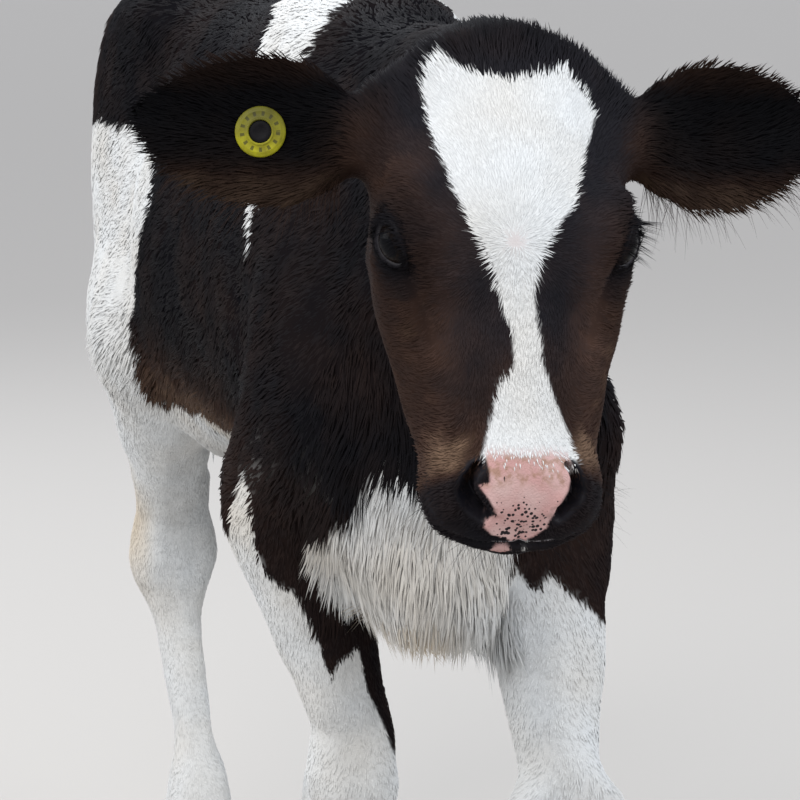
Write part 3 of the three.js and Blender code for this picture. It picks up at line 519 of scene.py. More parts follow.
def markings(points):
    """White, warm brown, cream, bare pink, dark and speckled skin, and a painted highlight on wet
    margins, at each point.
    """
    body, head, skull, ear, _, tail = regions(points)
    x, y, z = body.T
    hx, hy, hz = head.T
    ragged = 1.6 * wobble(body, 9.0, 11) + 4.0 * wobble(body, 26.0, 12)

    blaze_left = curve(hy, [(-24, -40), (-40, -48), (-64, -43.5), (-81, -40.7), (-100, -34),
                            (-115, -29.7), (-127, -25), (-139, -19), (-154, -13.6), (-164, -11),
                            (-183, -3.6), (-200, -4.0), (-206, -13), (-229, -18), (-246, -21),
                            (-253, -19), (-262, 4)])
    blaze_right = curve(hy, [(-30, 33), (-37, 38), (-43, 44), (-54, 50), (-68, 45.7), (-82, 40.5),
                             (-95, 36), (-108, 33), (-118, 28), (-127, 20.4), (-136, 14.3),
                             (-144, 10.8), (-152, 8), (-162, 6.5), (-187, 11.5), (-195, 11.4),
                             (-227, 24.9), (-246, 30), (-252, 31.5), (-255, 27), (-262, 4)])
    blaze_top = curve(hx, [(-48, -40), (-46, -28), (-34, -22), (-24, -33), (-11, -38), (0, -42),
                           (17, -37), (25, -35), (33, -29.6), (38, -37), (44, -42), (50, -54)])
    blaze = np.minimum(np.minimum(hx - blaze_left, blaze_right - hx), blaze_top - hy)
    blaze = np.minimum(blaze, hz + 74.0) + 0.24 * ragged + 0.9 * wobble(body, 4.0, 13)

    band_middle = curve(z, [(850, -172), (840, -190), (833, -213), (815, -221), (760, -238),
                            (708, -254), (680, -256)])
    band_right = curve(z, [(640, -14), (676, 0), (690, 6), (712, 12), (760, 34), (815, 56),
                           (833, 69), (846, 92)])
    band_left = curve(z, [(560, -10), (620, 34), (700, 58), (800, 74), (850, 62)])
    band_half = np.where(x > 0, band_left, band_right)
    withers = band_half - np.abs(y - band_middle) + 0.5 * ragged
    hip = y - curve(z, [(488, 214), (500, 200), (521, 182), (549, 168), (576, 157), (601, 146),
                        (640, 88), (653, 74), (678, 60), (702, 56), (725, 73), (738, 205),
                        (748, 330)])
    hip = np.minimum(hip, 738.0 - z) + 1.3 * ragged
    loin = 92.0 - np.hypot((y - 150.0) * 0.8, (z - 700.0) * 1.05)
    left_rump = y - 250.0 - 0.5 * (z - 560.0)
    left = np.maximum(loin, np.minimum(left_rump, 700.0 - z)) + 1.4 * ragged
    left = left + 12.0 * wobble(body, 60.0, 14) + 34.0 * wobble(body, 105.0, 15)
    side = np.where(x < 0, hip, left)
    belly = curve(y, [(-330, 560), (-200, 512), (0, 506), (90, 507), (190, 502), (230, 540),
                      (270, 640), (460, 700)]) - z
    belly = np.where(np.abs(x) < 60, belly + 12.0, belly) + 1.5 * ragged
    belly = np.where(y < -190, np.minimum(belly, 26.0 - np.abs(x)), belly)

    chest_left = curve(z, [(445, -50), (451, -64), (473, -70), (485, -77), (501, -79), (513, -76),
                           (527, -68), (539, -65), (551, -63), (570, -56), (600, -40), (628, -8)])
    chest = np.minimum(np.minimum(x - chest_left, 26.0 - x), np.minimum(628.0 - z, -300.0 - y))
    chest = chest + 0.9 * ragged

    aslant = 0.9655 * x - 0.2605 * y
    right_limit = curve(aslant, [(-64, 474), (-51.6, 487), (-47.8, 508), (-36.8, 536), (-34.2, 509),
                                 (-32.8, 478), (-26.5, 457), (-17, 448), (-6, 445), (3.9, 431),
                                 (9.8, 408), (14.5, 387), (18, 379), (23.4, 391), (33, 396),
                                 (35.9, 402), (38.8, 390), (42.7, 367), (53.3, 340), (62, 320),
                                 (71.6, 290), (78, 250), (82.5, 210)])
    left_limit = curve(x, [(19, 493), (39, 480), (49, 465), (54, 459), (61, 469), (65, 472),
                           (74, 462), (81, 454), (88, 450), (96, 442), (106, 431), (120, 440)])
    fore_right = (x < 22) & (y < -120) & (z < 600)
    fore_left = (x > 22) & (y < -120) & (z < 560)
    legs_white = np.where(fore_right, right_limit - z, -99.0)
    legs_white = np.where(fore_left, left_limit - z, legs_white)
    legs_white = np.clip(legs_white, -14.0, 14.0) * 0.7 + 0.35 * ragged
    front_leg = (y < -120) & ((fore_right & (x < -20)) | (fore_left & (x > 30)) | (z < 470))
    torso = np.maximum(np.maximum(withers, side), np.maximum(belly, chest))
    fore = np.maximum(chest, np.where(front_leg, legs_white, belly))
    rest = np.where((y < -120) & (z < 620), fore, torso)
    rest = np.where((y > 60) & (z < 470), 40.0, rest)
    rest = np.where(tail > 0.5, 640.0 - z + 2 * ragged, rest)
    rest = np.where((y < -420) & (z > 560), -60.0, rest)
    distance = np.where(skull > 0.4, np.where(np.abs(hx) > 60, -30.0, blaze), rest)
    white = ramp(distance, -1.2, 1.6)

    warm = 0.06 + 0.30 * skull + 0.22 * wobble(body, 70.0, 21) + 0.10 * wobble(body, 14.0, 22)
    lid, lid_height = lid_gap(points)
    cheek = skull * ramp(-hy, 90.0, 190.0) * ramp(np.abs(hx), 18.0, 44.0)
    warm += 0.5 * cheek - 0.35 * skull * ramp(hy, -80.0, -20.0)
    side_patch = hump((np.abs(hx), 35.0, 13.0), (hy, -243.0, 11.0))
    temple = hump((hx, -62.0, 13.0), (hy, -88.0, 20.0))
    below_eye = hump((np.abs(hx), 50.0, 12.0), (hy, -176.0, 22.0))
    warm += skull * (1.25 * side_patch * (hz < -36.0) + 0.45 * temple + 0.25 * below_eye)
    # Less brown where the painted grey sheen lies beside the blaze.
    warm -= 0.2 * skull * painted_face_sheen(head)
    warm *= 1.0 - 0.85 * skull * ramp(-hy, 252.0, 260.0)
    warm *= 1.0 - skull * ramp(-lid, -12.0, -5.0)
    root = hump((np.abs(hx), 84.0, 13.0), (hy, -66.0, 22.0))
    warm += skull * 0.5 * root + ear * 1.1 * ramp(np.abs(over_ear_middle(head)), 13.0, 33.0)
    skirt = hump((z, 520.0, 34.0)) * ramp(y, -190.0, -60.0)
    warm += (1 - skull) * (1.15 * skirt + 0.3 * ramp(-z, -600.0, -500.0)) - 0.12 * ear
    warm = np.clip(warm * (1.0 + 0.3 * wobble(body, 7.0, 23)), 0.0, 2.0)

    cream = 0.10 + 0.12 * wobble(body, 40.0, 31)
    hock = hump((y, 364.0, 40.0), (z, 360.0, 56.0))
    soiled = hump((x, -27.0, 16.0), (z, 447.0, 15.0)) * (y < -320)
    fringe = hump((z, 496.0, 26.0)) * (y < 100) * (1 - skull)
    cream += 0.7 * hock * (1 - skull) * ramp(np.abs(x), 72.0, 88.0) + 0.25 * fringe + 0.9 * soiled
    cream += 0.30 * ramp(-z, -110.0, -50.0)
    cream = np.clip(cream, 0.0, 1.0)

    pad_left = curve(hy, [(-288, -6), (-286.2, -15.5), (-282.8, -20.4), (-278.9, -20.2),
                          (-277.6, -14.8), (-275.0, -17.2), (-270.5, -20.2), (-267.0, -23.0),
                          (-263.3, -25.0), (-262.2, -19.2), (-256.0, -19.4), (-248.5, -20.3)])
    pad_right = curve(hy, [(-288, 4), (-287.0, 7.5), (-283.3, 14.3), (-280.6, 14.8), (-275.8, 18.6),
                           (-267.4, 24.0), (-261.2, 25.4), (-252.9, 28.2), (-247.7, 26)])
    pad = np.minimum(np.minimum(hx - pad_left, pad_right - hx), hz + 60.8) + 0.10 * ragged
    pink = skull * ramp(pad, -0.7, 0.9) * ramp(-hy + 0.9 * ragged, 241.0, 252.5)
    lip_patch = 6.5 - np.hypot(hx + 8.5, (hz + 75.0) * 0.7) + 0.2 * ragged
    pink = np.maximum(pink, skull * ramp(lip_patch, 0.0, 2.0) * (hy < -270) * (hz < -66))
    whorl = np.hypot(hx + 3.0, hy + 137.0)
    pink = np.maximum(pink, 0.26 * skull * hump((whorl, 0.0, 6.5)))
    nostril = near_path(both_sides(head), NOSTRIL)[0]
    for part, ease in ((0.5, 0.85), (1.0, 0.7)):
        inner = near_path(both_sides(head), np.array(NOSTRIL) + part * np.array(NOSTRIL_DEPTH))[0]
        nostril = np.minimum(nostril, ease * inner + 30.0 * ramp(hy, -258.0, -252.0))
    lips = hump((hz, -66.0, 5.0)) * ramp(-hy, 240.0, 258.0)
    dark = skull * np.maximum(ramp(-nostril, -8.5, -5.0), lips) * (1 - pink)
    pink = pink * (1 - skull * ramp(-nostril, -3.6, -2.2))
    dark = np.maximum(dark, skull * ramp(-lid, -4.2, -2.0))
    speckle = ramp(-hy, 269.0, 279.0) * ramp(-np.abs(hx - 1.0 + 0.35 * (hy + 280.0)), -17.0, -10.0)
    speckle = np.clip(speckle + 0.5 * ramp(-hy, 278.0, 284.0), 0.0, 1.0)
    speckle -= ramp(-hy, 246.0, 251.0) * ramp(hy, -268.0, -261.0)
    # Painted highlight: a pale line on the wet margin of each lower lid, and on the closed mouth's
    # wet seam.
    painted_glint = 0.075 * skull * hump((lid, 0.1, 0.35)) * ramp(-lid_height, 0.0, 0.3)
    seam = hump((hz, -62.2, 0.9)) * ramp(-np.abs(hx - 2.0), -18.0, -13.0)
    painted_glint = np.maximum(painted_glint, skull * seam * ramp(-hy, 280.0, 285.0))
    return white, warm, cream, pink, np.clip(dark, 0.0, 1.0), speckle, painted_glint


def in_shade(body, leg):
    """How far painted shade greys the inner sides and hollows of the legs, from 0 to 1."""
    x, y, z = body.T
    inner = ramp(-np.abs(x), -84.0, -62.0) * (y > 60)
    inner = inner + 0.4 * ramp(-np.abs(x), -70.0, -48.0) * (y < 0)
    uneven = 0.75 + 0.35 * wobble(body, 34.0, 61) + 0.15 * wobble(body, 12.0, 62)
    return np.clip(leg * (inner * ramp(z, 230.0, 380.0) + 0.1) * uneven, 0.0, 1.0)


def painted_face_sheen(head):
    """How far the black hair beside the blaze is lightened by a painted grey sheen, from 0 to 1."""
    hx, hy = head.T[:2]
    beside = np.abs(hx - 5.0) - 22.0 * ramp(hy, -130.0, -70.0)
    return ramp(-beside, -56.0, -36.0) * ramp(hy, -235.0, -175.0) * ramp(-hy, 5.0, 40.0)


def store(mesh, title, columns):
    """Stores four columns on a mesh as one attribute, a row for each of its vertices."""
    layer = mesh.attributes.new(title, "FLOAT_COLOR", "POINT")
    layer.data.foreach_set("color", np.stack(columns, axis=1).astype(np.float32).ravel())


class Tone:
    """A value or colour on its way through a material's nodes, which adds up like a number."""

    def __init__(self, tree, socket=None):
        self.tree = tree
        self.socket = socket

    def node(self, kind, output, inputs=None, **settings):
        made = self.tree.nodes.new("ShaderNode" + kind)
        for name, value in settings.items():
            setattr(made, name, value)
        for name, value in (inputs or {}).items():
            if isinstance(value, Tone):
                self.tree.links.new(value.socket, made.inputs[name])
            else:
                made.inputs[name].default_value = value
        return Tone(self.tree, made.outputs[output])

    def sibling(self, output):
        """Another output of the node that this comes from."""
        return Tone(self.tree, self.socket.node.outputs[output])

    def feed(self, shader, name):
        self.tree.links.new(self.socket, shader.inputs[name])

    def noise(self, scale, detail):
        """Soft noise over this place, about scale bumps to a metre."""
        return self.node("TexNoise", "Fac", {"Vector": self, "Scale": scale, "Detail": detail})

    def raise_on(self, shader, strength, distance):
        """Uses this as the height of a fine relief."""
        relief = {"Height": self, "Strength": strength, "Distance": distance}
        self.node("Bump", 0, relief).feed(shader, "Normal")

    def maths(self, operation, first, second):
        return self.node("Math", 0, {0: first, 1: second}, operation=operation)

    def __add__(self, other):
        return self.maths("ADD", self, other)

    def __radd__(self, other):
        return self.maths("ADD", other, self)

    def __sub__(self, other):
        return self.maths("SUBTRACT", self, other)

    def __rsub__(self, other):
        return self.maths("SUBTRACT", other, self)

    def __mul__(self, other):
        return self.maths("MULTIPLY", self, other)

    def __rmul__(self, other):
        return self.maths("MULTIPLY", other, self)

    def __pow__(self, other):
        return self.maths("POWER", self, other)


def new_finish(title):
    """A material with its shader, the start of its node work, and the place on the piece."""
    material = bpy.data.materials.new(title)
    material.use_nodes = True
    sheet = Tone(material.node_tree)
    shader = material.node_tree.nodes["Principled BSDF"]
    return material, shader, sheet, sheet.node("TexCoord", "Object")


def mixed(share, low, high):
    """The colour low where share is 0, and high where it is 1."""
    low, high = [end if isinstance(end, Tone) else (*end, 1.0) for end in (low, high)]
    return share.node("Mix", 2, {0: share, 6: low, 7: high}, data_type="RGBA")


def between(value, low, high):
    """0 at low and 1 at high, in a straight run."""
    return value.node("MapRange", 0, {0: value, 1: low, 2: high})


def hair_colours(sheet, place):
    """Hair colour from the stored markings, with soft mottling, times the stored shade, which holds
    random tone and also painted shade and a painted sheen; shared by skin and coat.
    """
    marks = sheet.node("Attribute", "Color", attribute_name="marks")
    is_white = sheet.node("SeparateColor", 0, {0: marks})
    shade = marks.sibling("Alpha")
    mottle = place.noise(26.0, 3.0)
    rusty = is_white.sibling(1) + mottle * 0.4 - 0.2
    black = mixed(between(rusty, 0.0, 1.0), (0.0080, 0.0077, 0.0094), (0.036, 0.0205, 0.0155))
    black = mixed(between(rusty, 1.0, 2.0), black, (0.115, 0.073, 0.049))
    yellowed = between(is_white.sibling(2) + mottle * 0.3 - 0.15, 0.0, 1.0)
    white = mixed(yellowed, (0.67, 0.685, 0.69), (0.53, 0.43, 0.30))
    grey = shade.node("CombineColor", 0, {0: shade, 1: shade, 2: shade})
    return grey.node("Mix", 2, {0: 1.0, 6: mixed(is_white, black, white), 7: grey},
                     data_type="RGBA", blend_type="MULTIPLY")


hide_finish, hide_shader, sheet, place = new_finish("hide")
bare = sheet.node("Attribute", "Color", attribute_name="bare")
is_pink = sheet.node("SeparateColor", 0, {0: bare})
is_dark, low_nose, is_painted_glint = is_pink.sibling(1), is_pink.sibling(2), bare.sibling("Alpha")
blotch = place.noise(60.0, 4.0)
pink_skin = mixed(between(blotch, 0.35, 0.65), (0.45, 0.25, 0.235), (0.51, 0.35, 0.33))
smudged = between(place.noise(240.0, 4.0), 0.44, 0.62) * between(low_nose, 0.0, -1.0) * 0.75
stained = mixed(smudged, pink_skin, (0.27, 0.155, 0.10))
freckle = sheet.node("TexVoronoi", "Distance", {"Vector": place, "Scale": 400.0, "Randomness": 1.0})
speck = between(freckle - low_nose * 0.36 - (place.noise(170.0, 2.0) - 0.5) * 0.9, 0.05, -0.05)
spotted = mixed(speck, stained, (0.012, 0.010, 0.012))
dark_skin = mixed(between(blotch, 0.3, 0.8), (0.0045, 0.0045, 0.0065), (0.014, 0.012, 0.015))
haired = mixed(is_dark, hair_colours(sheet, place), dark_skin)
# A pale grey painted highlight where the lower lids' and the mouth's wet margins would catch the
# light.
mixed(is_painted_glint, mixed(is_pink, haired, spotted), (0.42, 0.40, 0.42)).feed(hide_shader, "Base Color")
wet = between(is_pink, 0.0, 1.0)
(0.62 - wet * 0.2 - blotch * 0.06).feed(hide_shader, "Roughness")
hide_shader.inputs["Specular IOR Level"].default_value = 0.0
moist = between(is_pink + is_dark * 0.7, 0.0, 1.0)
(moist * 0.22).feed(hide_shader, "Coat Weight")
hide_shader.inputs["Coat Roughness"].default_value = 0.38
cells = sheet.node("TexVoronoi", "Distance", {"Vector": place, "Scale": 520.0},
                   feature="DISTANCE_TO_EDGE")
relief = between(cells, 0.0, 0.25) * wet + place.noise(900.0, 2.0) * (1.0 - wet)
relief.raise_on(hide_shader, 0.35, 0.0006)

OUTLINE_WIDTH = 0.0035  # longer edges that cross a marking's outline are split, to keep it crisp
for _ in range(3):
    white = markings(points_of(skin.data))[0]
    shape = bmesh.new()
    shape.from_mesh(skin.data)
    shape.verts.ensure_lookup_table()
    crossing = [edge for edge in shape.edges if edge.calc_length() > OUTLINE_WIDTH
                and abs(white[edge.verts[0].index] - white[edge.verts[1].index]) > 0.25]
    bmesh.ops.subdivide_edges(shape, edges=crossing, cuts=1)
    bmesh.ops.triangulate(shape, faces=[face for face in shape.faces if len(face.verts) > 3])
    shape.to_mesh(skin.data)
    shape.free()
skin.data.polygons.foreach_set("use_smooth", np.ones(len(skin.data.polygons), bool))
white, warm, cream, pink, dark, speckle, painted_glint = markings(points_of(skin.data))
body, head, skull, in_ear, leg, tail = regions(points_of(skin.data))
# Painted shade darkens the skin on the legs' inner sides and hollows; the ears' skin is darker,
# partly their own black and partly painted shade.
shade = (0.72 + 0.18 * white - 0.4 * in_ear) * (1.0 - 0.3 * in_shade(body, leg))
# Painted grey sheen: the skin beside the blaze is lightened like the hair over it.
shade = shade * (1.0 + 1.1 * skull * (1 - in_ear) * (1 - white) * painted_face_sheen(head))
store(skin.data, "marks", (white, warm, cream, shade))
store(skin.data, "bare", (pink, dark, speckle, painted_glint))
skin.data.materials.clear()
skin.data.materials.append(hide_finish)
skin.data.polygons.foreach_set("material_index", np.zeros(len(skin.data.polygons), np.int32))
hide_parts(*FLESH)
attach(skin, "root")

# ---- Coat
# Short, thick calf hair in thousands of thin pointed tufts, each a closed blade rooted in the hide.
# They lie back along the body and down the legs, fan out from the whorl on the forehead, and hang
# long at the brisket and the edges of the ears.
WHORL = np.array([-3.0, -137.0, -1.0])
rng = np.random.default_rng(7)


def coat_plan(points, normals):
    """Tufts for each square metre, and each tuft's length, width, lift and lie, at these points.

    Lengths, widths and spacings are in millimetres, and lifts in degrees from the hide.
    """
    body, head, skull, ear, leg, tail = regions(points)
    x, y, z = body.T
    hx, hy, hz = head.T
    torso = (1 - skull) * (1 - leg) * (1 - tail)
    neck = torso * ramp(-y, 330.0, 430.0) * ramp(z, 560.0, 620.0)
    low = ramp(-z, -330.0, -220.0) * leg
    brisket = (1 - skull) * ramp(-y, 270.0, 330.0) * ramp(-z, -640.0, -560.0)
    brisket = brisket * ramp(z, 405.0, 435.0) * ramp(x, -92.0, -74.0) * ramp(-x, -44.0, -24.0)
    under = torso * ramp(-normals[:, 2], 0.2, 0.7)
    hanging = brisket * ramp(-normals[:, 2], 0.25, 0.75)
    skirt = torso * hump((z, 540.0, 40.0)) * ramp(y, -190.0, -120.0)
    muzzle = skull * ramp(-hy, 205.0, 255.0) * (1 - 0.45 * ramp(np.abs(hx), 26.0, 34.0))
    poll = skull * ramp(hy, -42.0, -14.0) * ramp(-np.abs(hx), -62.0, -40.0) * ramp(hz, -70.0, -30.0)
    brow = skull * hump((np.abs(hx), 66.0, 9.0), (hy, -106.0, 13.0))
    buds = skull * hump((np.abs(hx), 68.0, 14.0), (hy, -36.0, 16.0))
    inner_ear = ear * ramp((normals @ HEAD_AXES)[:, 2], -0.1, 0.4)
    jowl = skull * ramp(np.abs(hx), 24.0, 34.0) * ramp(-hy, 205.0, 240.0)

    def blend_in(value, *pairs):
        """The value, drawn to each pair's other value where its mask is 1, in turn."""
        total = np.full(len(points), float(value))
        for mask, other in pairs:
            total = total + mask * (other - total)
        return total

    length = blend_in(14, (neck, 12.5), (under, 20), (skirt, 25), (leg, 6), (low, 5), (brisket, 30),
                      (tail, 20), (skull, 6.2), (muzzle, 3.2), (brow, 10), (poll, 15), (buds, 13),
                      (ear, 8), (inner_ear, 11))
    width = blend_in(1.65, (neck, 1.4), (leg, 1.2), (low, 1.1), (brisket, 1.3), (skull, 0.75),
                     (muzzle, 0.6), (poll, 0.95), (ear, 0.9))
    spacing = blend_in(3.1, (neck, 2.7), (leg, 2.75), (low, 2.6), (brisket, 2.0), (skull, 1.38),
                       (muzzle, 1.25), (poll, 1.55), (ear, 1.6))
    lift = blend_in(10, (under, 18), (skirt, 20), (leg, 12), (brisket, 14), (hanging, 58),
                    (skull, 10), (brow, 24), (poll, 27), (buds, 30), (jowl, 20), (ear, 11),
                    (inner_ear, 16))

    back = ramp(normals[:, 2], 0.3, 0.9)
    front = torso * ramp(-normals[:, 1], 0.35, 0.8) * ramp(-z, -700.0, -620.0)
    haunch = torso * ramp(y, 260.0, 380.0)
    chest = brisket * ramp(-y, 290.0, 330.0)
    lie = side_by_side(0.0, 0.9, -0.5 + 0.42 * back)
    parting = side_by_side(0.012 * (x + 20.0), 0.0, -1.0)
    for mask, way in ((neck, (0.0, 0.75, -0.68)), (front, (0.0, 0.05, -1.0)),
                      (haunch, (0.0, 0.35, -0.94)), (leg, (0.0, 0.16, -1.0)), (chest, parting),
                      (tail, (0.0, 0.0, -1.0))):
        lie = lie + mask[:, None] * (way - lie)

    out = head - WHORL
    out[:, 2] = 0.0
    fan = out / (np.linalg.norm(out, axis=1)[:, None] + 1e-6)
    fan[:, 0] *= 1.2
    side = np.sign(hx)
    ear_spread = 0.28 + inner_ear * np.clip(over_ear_middle(head) / 40.0, -1.0, 1.0) * 0.9
    nose = ramp(-hy, 150.0, 185.0)
    cheek = ramp(-hz, 30.0, 62.0) * (1 - 0.9 * poll)
    lips = ramp(-hy, 225.0, 262.0) * ramp(np.abs(hx), 14.0, 30.0)
    for mask, way in ((nose, (hx / 130.0, -1.0, 0.0)), (cheek, (0.05 * side, 0.62, -0.75)),
                      (lips, (side * 0.55, 0.1, -0.85)), (ear, (side, ear_spread, -0.2))):
        fan = fan + mask[:, None] * (side_by_side(*way) - fan)
    lie = lie + skull[:, None] * (fan @ HEAD_AXES.T - lie)
    return 1e6 / spacing ** 2, length, width, lift, lie


def unit(rows):
    """Each row, with a length of 1."""
    return rows / (np.linalg.norm(rows, axis=1)[:, None] + 1e-12)


skin.data.calc_loop_triangles()
corners = np.empty(len(skin.data.loop_triangles) * 3, np.int32)
skin.data.loop_triangles.foreach_get("vertices", corners)
corners = corners.reshape(-1, 3)
spots = points_of(skin.data)
normals = normals_of(skin.data)
sides = spots[corners]
areas = 0.5 * np.linalg.norm(np.cross(sides[:, 1] - sides[:, 0], sides[:, 2] - sides[:, 0]), axis=1)
middles = sides.mean(1)
density = coat_plan(middles, unit(normals[corners].mean(1)))[0]
pink, dark = markings(middles)[3:5]
lid = lid_gap(middles)[0]
HOOF_TOP = 0.036  # no hair grows below this height
sparse = 1 - 0.10 * ramp(in_head(in_body(middles))[:, 1], -261.0, -252.0)
density = density * (1 - sparse * ramp(pink, 0.15, 0.9)) * ramp(lid, 1.6, 3.0)
density = density * (middles[:, 2] > HOOF_TOP)
density = density * (1 - 0.6 * ramp(dark, 0.75, 1.0) * (lid > 90.0))
share = np.cumsum(areas * density)
count = int(share[-1])
picked = np.searchsorted(share, (np.arange(count) + rng.random(count)) * (share[-1] / count))
picked = np.minimum(picked, len(corners) - 1)
one, two = rng.random(count), rng.random(count)
swap = one + two > 1
one[swap], two[swap] = 1 - one[swap], 1 - two[swap]
mix = np.stack([1 - one - two, one, two], axis=1)
roots = (spots[corners[picked]] * mix[:, :, None]).sum(1)
upward = unit((normals[corners[picked]] * mix[:, :, None]).sum(1))
_, length, width, lift, lie = coat_plan(roots, upward)
body, head, skull, ear, leg, tail = regions(roots)

# Each tuft is turned a little from the lie, and the tips of neighbours draw together in clumps.
swing = 0.30 * wobble(body, 34.0, 41) + 0.16 * wobble(body, 11.0, 42)
swing = swing + 0.13 * rng.normal(size=count)
along = unit(lie - (lie * upward).sum(1)[:, None] * upward)
across = np.cross(upward, along)
along = along * np.cos(swing)[:, None] + across * np.sin(swing)[:, None]
across = np.cross(upward, along)
length = length * (1.0 + 0.22 * rng.normal(size=count)).clip(0.55, 1.6) / 1000.0
width = width * (0.8 + 0.4 * rng.random(count)) / 1000.0
slope = np.radians(lift * (0.75 + 0.5 * rng.random(count)))
middle_way = along * np.cos(slope)[:, None] + upward * np.sin(slope)[:, None]
tip_way = along * np.cos(slope * 0.35)[:, None] + upward * np.sin(slope * 0.35)[:, None]
sag = np.array([0.0, 0.0, -0.16]) * (length / 0.03)[:, None] ** 2
roots = roots - upward * np.minimum(0.0006, 0.06 * length)[:, None]
middle = roots + middle_way * (0.5 * length)[:, None]
tip = middle + (tip_way + sag) * (0.5 * length)[:, None]
size = np.where(skull > 0.5, 5.0, np.where(leg > 0.5, 8.0, 13.0))
jitter = side_by_side(*[wobble(body, 20.0, seed) for seed in (51, 52, 53)])
cell = np.floor(body / size[:, None] + 0.35 * jitter).astype(np.int64)
key = cell @ np.array([1000003, 1009, 1]) + size.astype(int) * 10 ** 9  # one number for each clump
_, clump = np.unique(key, return_inverse=True)
weight = np.bincount(clump)
drawn = np.stack([np.bincount(clump, tip[:, axis]) / weight for axis in range(3)], axis=1)[clump]
pull = 0.22 + 0.15 * (length > 0.024)
tip = tip + (drawn - tip) * pull[:, None]
white, warm, cream = markings(roots)[:3]
clump_tone = rng.normal(size=len(weight))[clump]
uneven = np.where(white > 0.5, 0.4, 1.0)
shade = np.clip(0.95 + uneven * (0.05 * clump_tone + 0.07 * rng.normal(size=count)), 0.6, 1.15)
in_hollow = ear * ramp((upward @ HEAD_AXES)[:, 2], 0.0, 0.4)
face = skull * (1 - ear) * (1 - white)
# A painted grey sheen lightens the black face hair beside the blaze, and the face hair is also
# lighter towards the mouth.
shade = shade * (1 + face * (0.9 * painted_face_sheen(head) + 0.4 * ramp(-head[:, 1], 205.0, 235.0)))
# The ears are darker, most in their hollows, partly their own black hair and partly painted shade;
# painted shade also greys the legs' inner sides and hollows.
shade = shade * (1 - 0.22 * ear - 0.38 * in_hollow) * (1 - 0.3 * in_shade(body, leg))
tilt = np.where(white > 0.5, 0.14 + 0.05 * leg, 0.36 - 0.1 * leg)
depth = np.where(white > 0.5, 0.2 + 0.12 * leg, 0.8)
shade = shade + np.where(white > 0.5, 0.09 * skull + 0.05 * leg, 0.0)

coat_finish, coat_shader, sheet, place = new_finish("coat")
hair_colours(sheet, place).feed(coat_shader, "Base Color")
strand = place.noise(700.0, 2.0)
(0.5 + strand * 0.2).feed(coat_shader, "Roughness")
coat_shader.inputs["Specular IOR Level"].default_value = 0.02
strand.raise_on(coat_shader, 0.3, 0.0004)


def unwrap(name, chosen):
    """The roots' places on an unwrap of the skin: round each part, and along it."""
    x, y, z = body[chosen].T
    hx, hy, hz = head[chosen].T
    if name.startswith("coat_head"):
        round_it = np.arctan2(hx, hz + 70.0) / math.tau
        down_it = hy
    elif name.startswith("coat_ear"):
        faces_out = (upward[chosen] @ HEAD_AXES)[:, 2] > 0
        spread = (hy + 52.0 - 0.2 * (np.abs(hx) - 80.0)) / 220.0
        round_it = np.where(faces_out, -0.25, 0.25) + spread
        down_it = np.abs(hx)
    elif name.startswith(("coat_fore", "coat_hind")):
        level = np.round(z / 30.0).astype(int)
        centre_x = np.bincount(level, x)[level] / np.bincount(level)[level]
        centre_y = np.bincount(level, y)[level] / np.bincount(level)[level]
        round_it = np.arctan2(x - centre_x, centre_y - y) / math.tau
        down_it = z
    elif name == "coat_tail":
        round_it = np.arctan2(x - 4.0, 470.0 - y) / math.tau
        down_it = z
    else:
        round_it = np.arctan2(x, z - 665.0) / math.tau
        down_it = y
    low, high = down_it.min(), down_it.max()
    spread_out = np.stack([round_it + 0.5, (down_it - low) / (high - low + 1e-9)], axis=1)
    return 0.004 + 0.992 * np.clip(spread_out, 0.0, 1.0)


def hair_piece(name, points, index, marks, places):
    """Makes one piece from every hair's points and triangles, with its markings and bake map."""
    mesh = bpy.data.meshes.new(name)
    mesh.vertices.add(len(points))
    mesh.loops.add(index.size)
    mesh.polygons.add(len(index))
    mesh.vertices.foreach_set("co", points.astype(np.float32).ravel())
    mesh.loops.foreach_set("vertex_index", index.astype(np.int32).ravel())
    mesh.polygons.foreach_set("loop_start", np.arange(len(index), dtype=np.int32) * 3)
    mesh.polygons.foreach_set("loop_total", np.full(len(index), 3, np.int32))
    mesh.update(calc_edges=True)
    mesh.polygons.foreach_set("use_smooth", np.ones(len(index), bool))
    store(mesh, "marks", marks)
    chart = mesh.uv_layers.new(name="OFBake")
    chart.data.foreach_set("uv", places[index.ravel()].astype(np.float32).ravel())
    piece = placed(name, mesh)
    mesh.materials.append(coat_finish)
    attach(piece, "root")
    return piece


TUFT_FACES = np.array([(0, 1, 2), (0, 2, 3), (1, 4, 2), (2, 4, 3), (0, 3, 1), (1, 3, 4)])
TUFT_TONES = np.array((-0.28, -0.12, -0.05, -0.12, 0.06))  # darker at the root, lighter at the tip
TUFT_PATCH = np.array([(0.0, -0.0015), (0.0015, 0.0), (0.0, 0.0001), (-0.0015, 0.0), (0.0, 0.0015)])


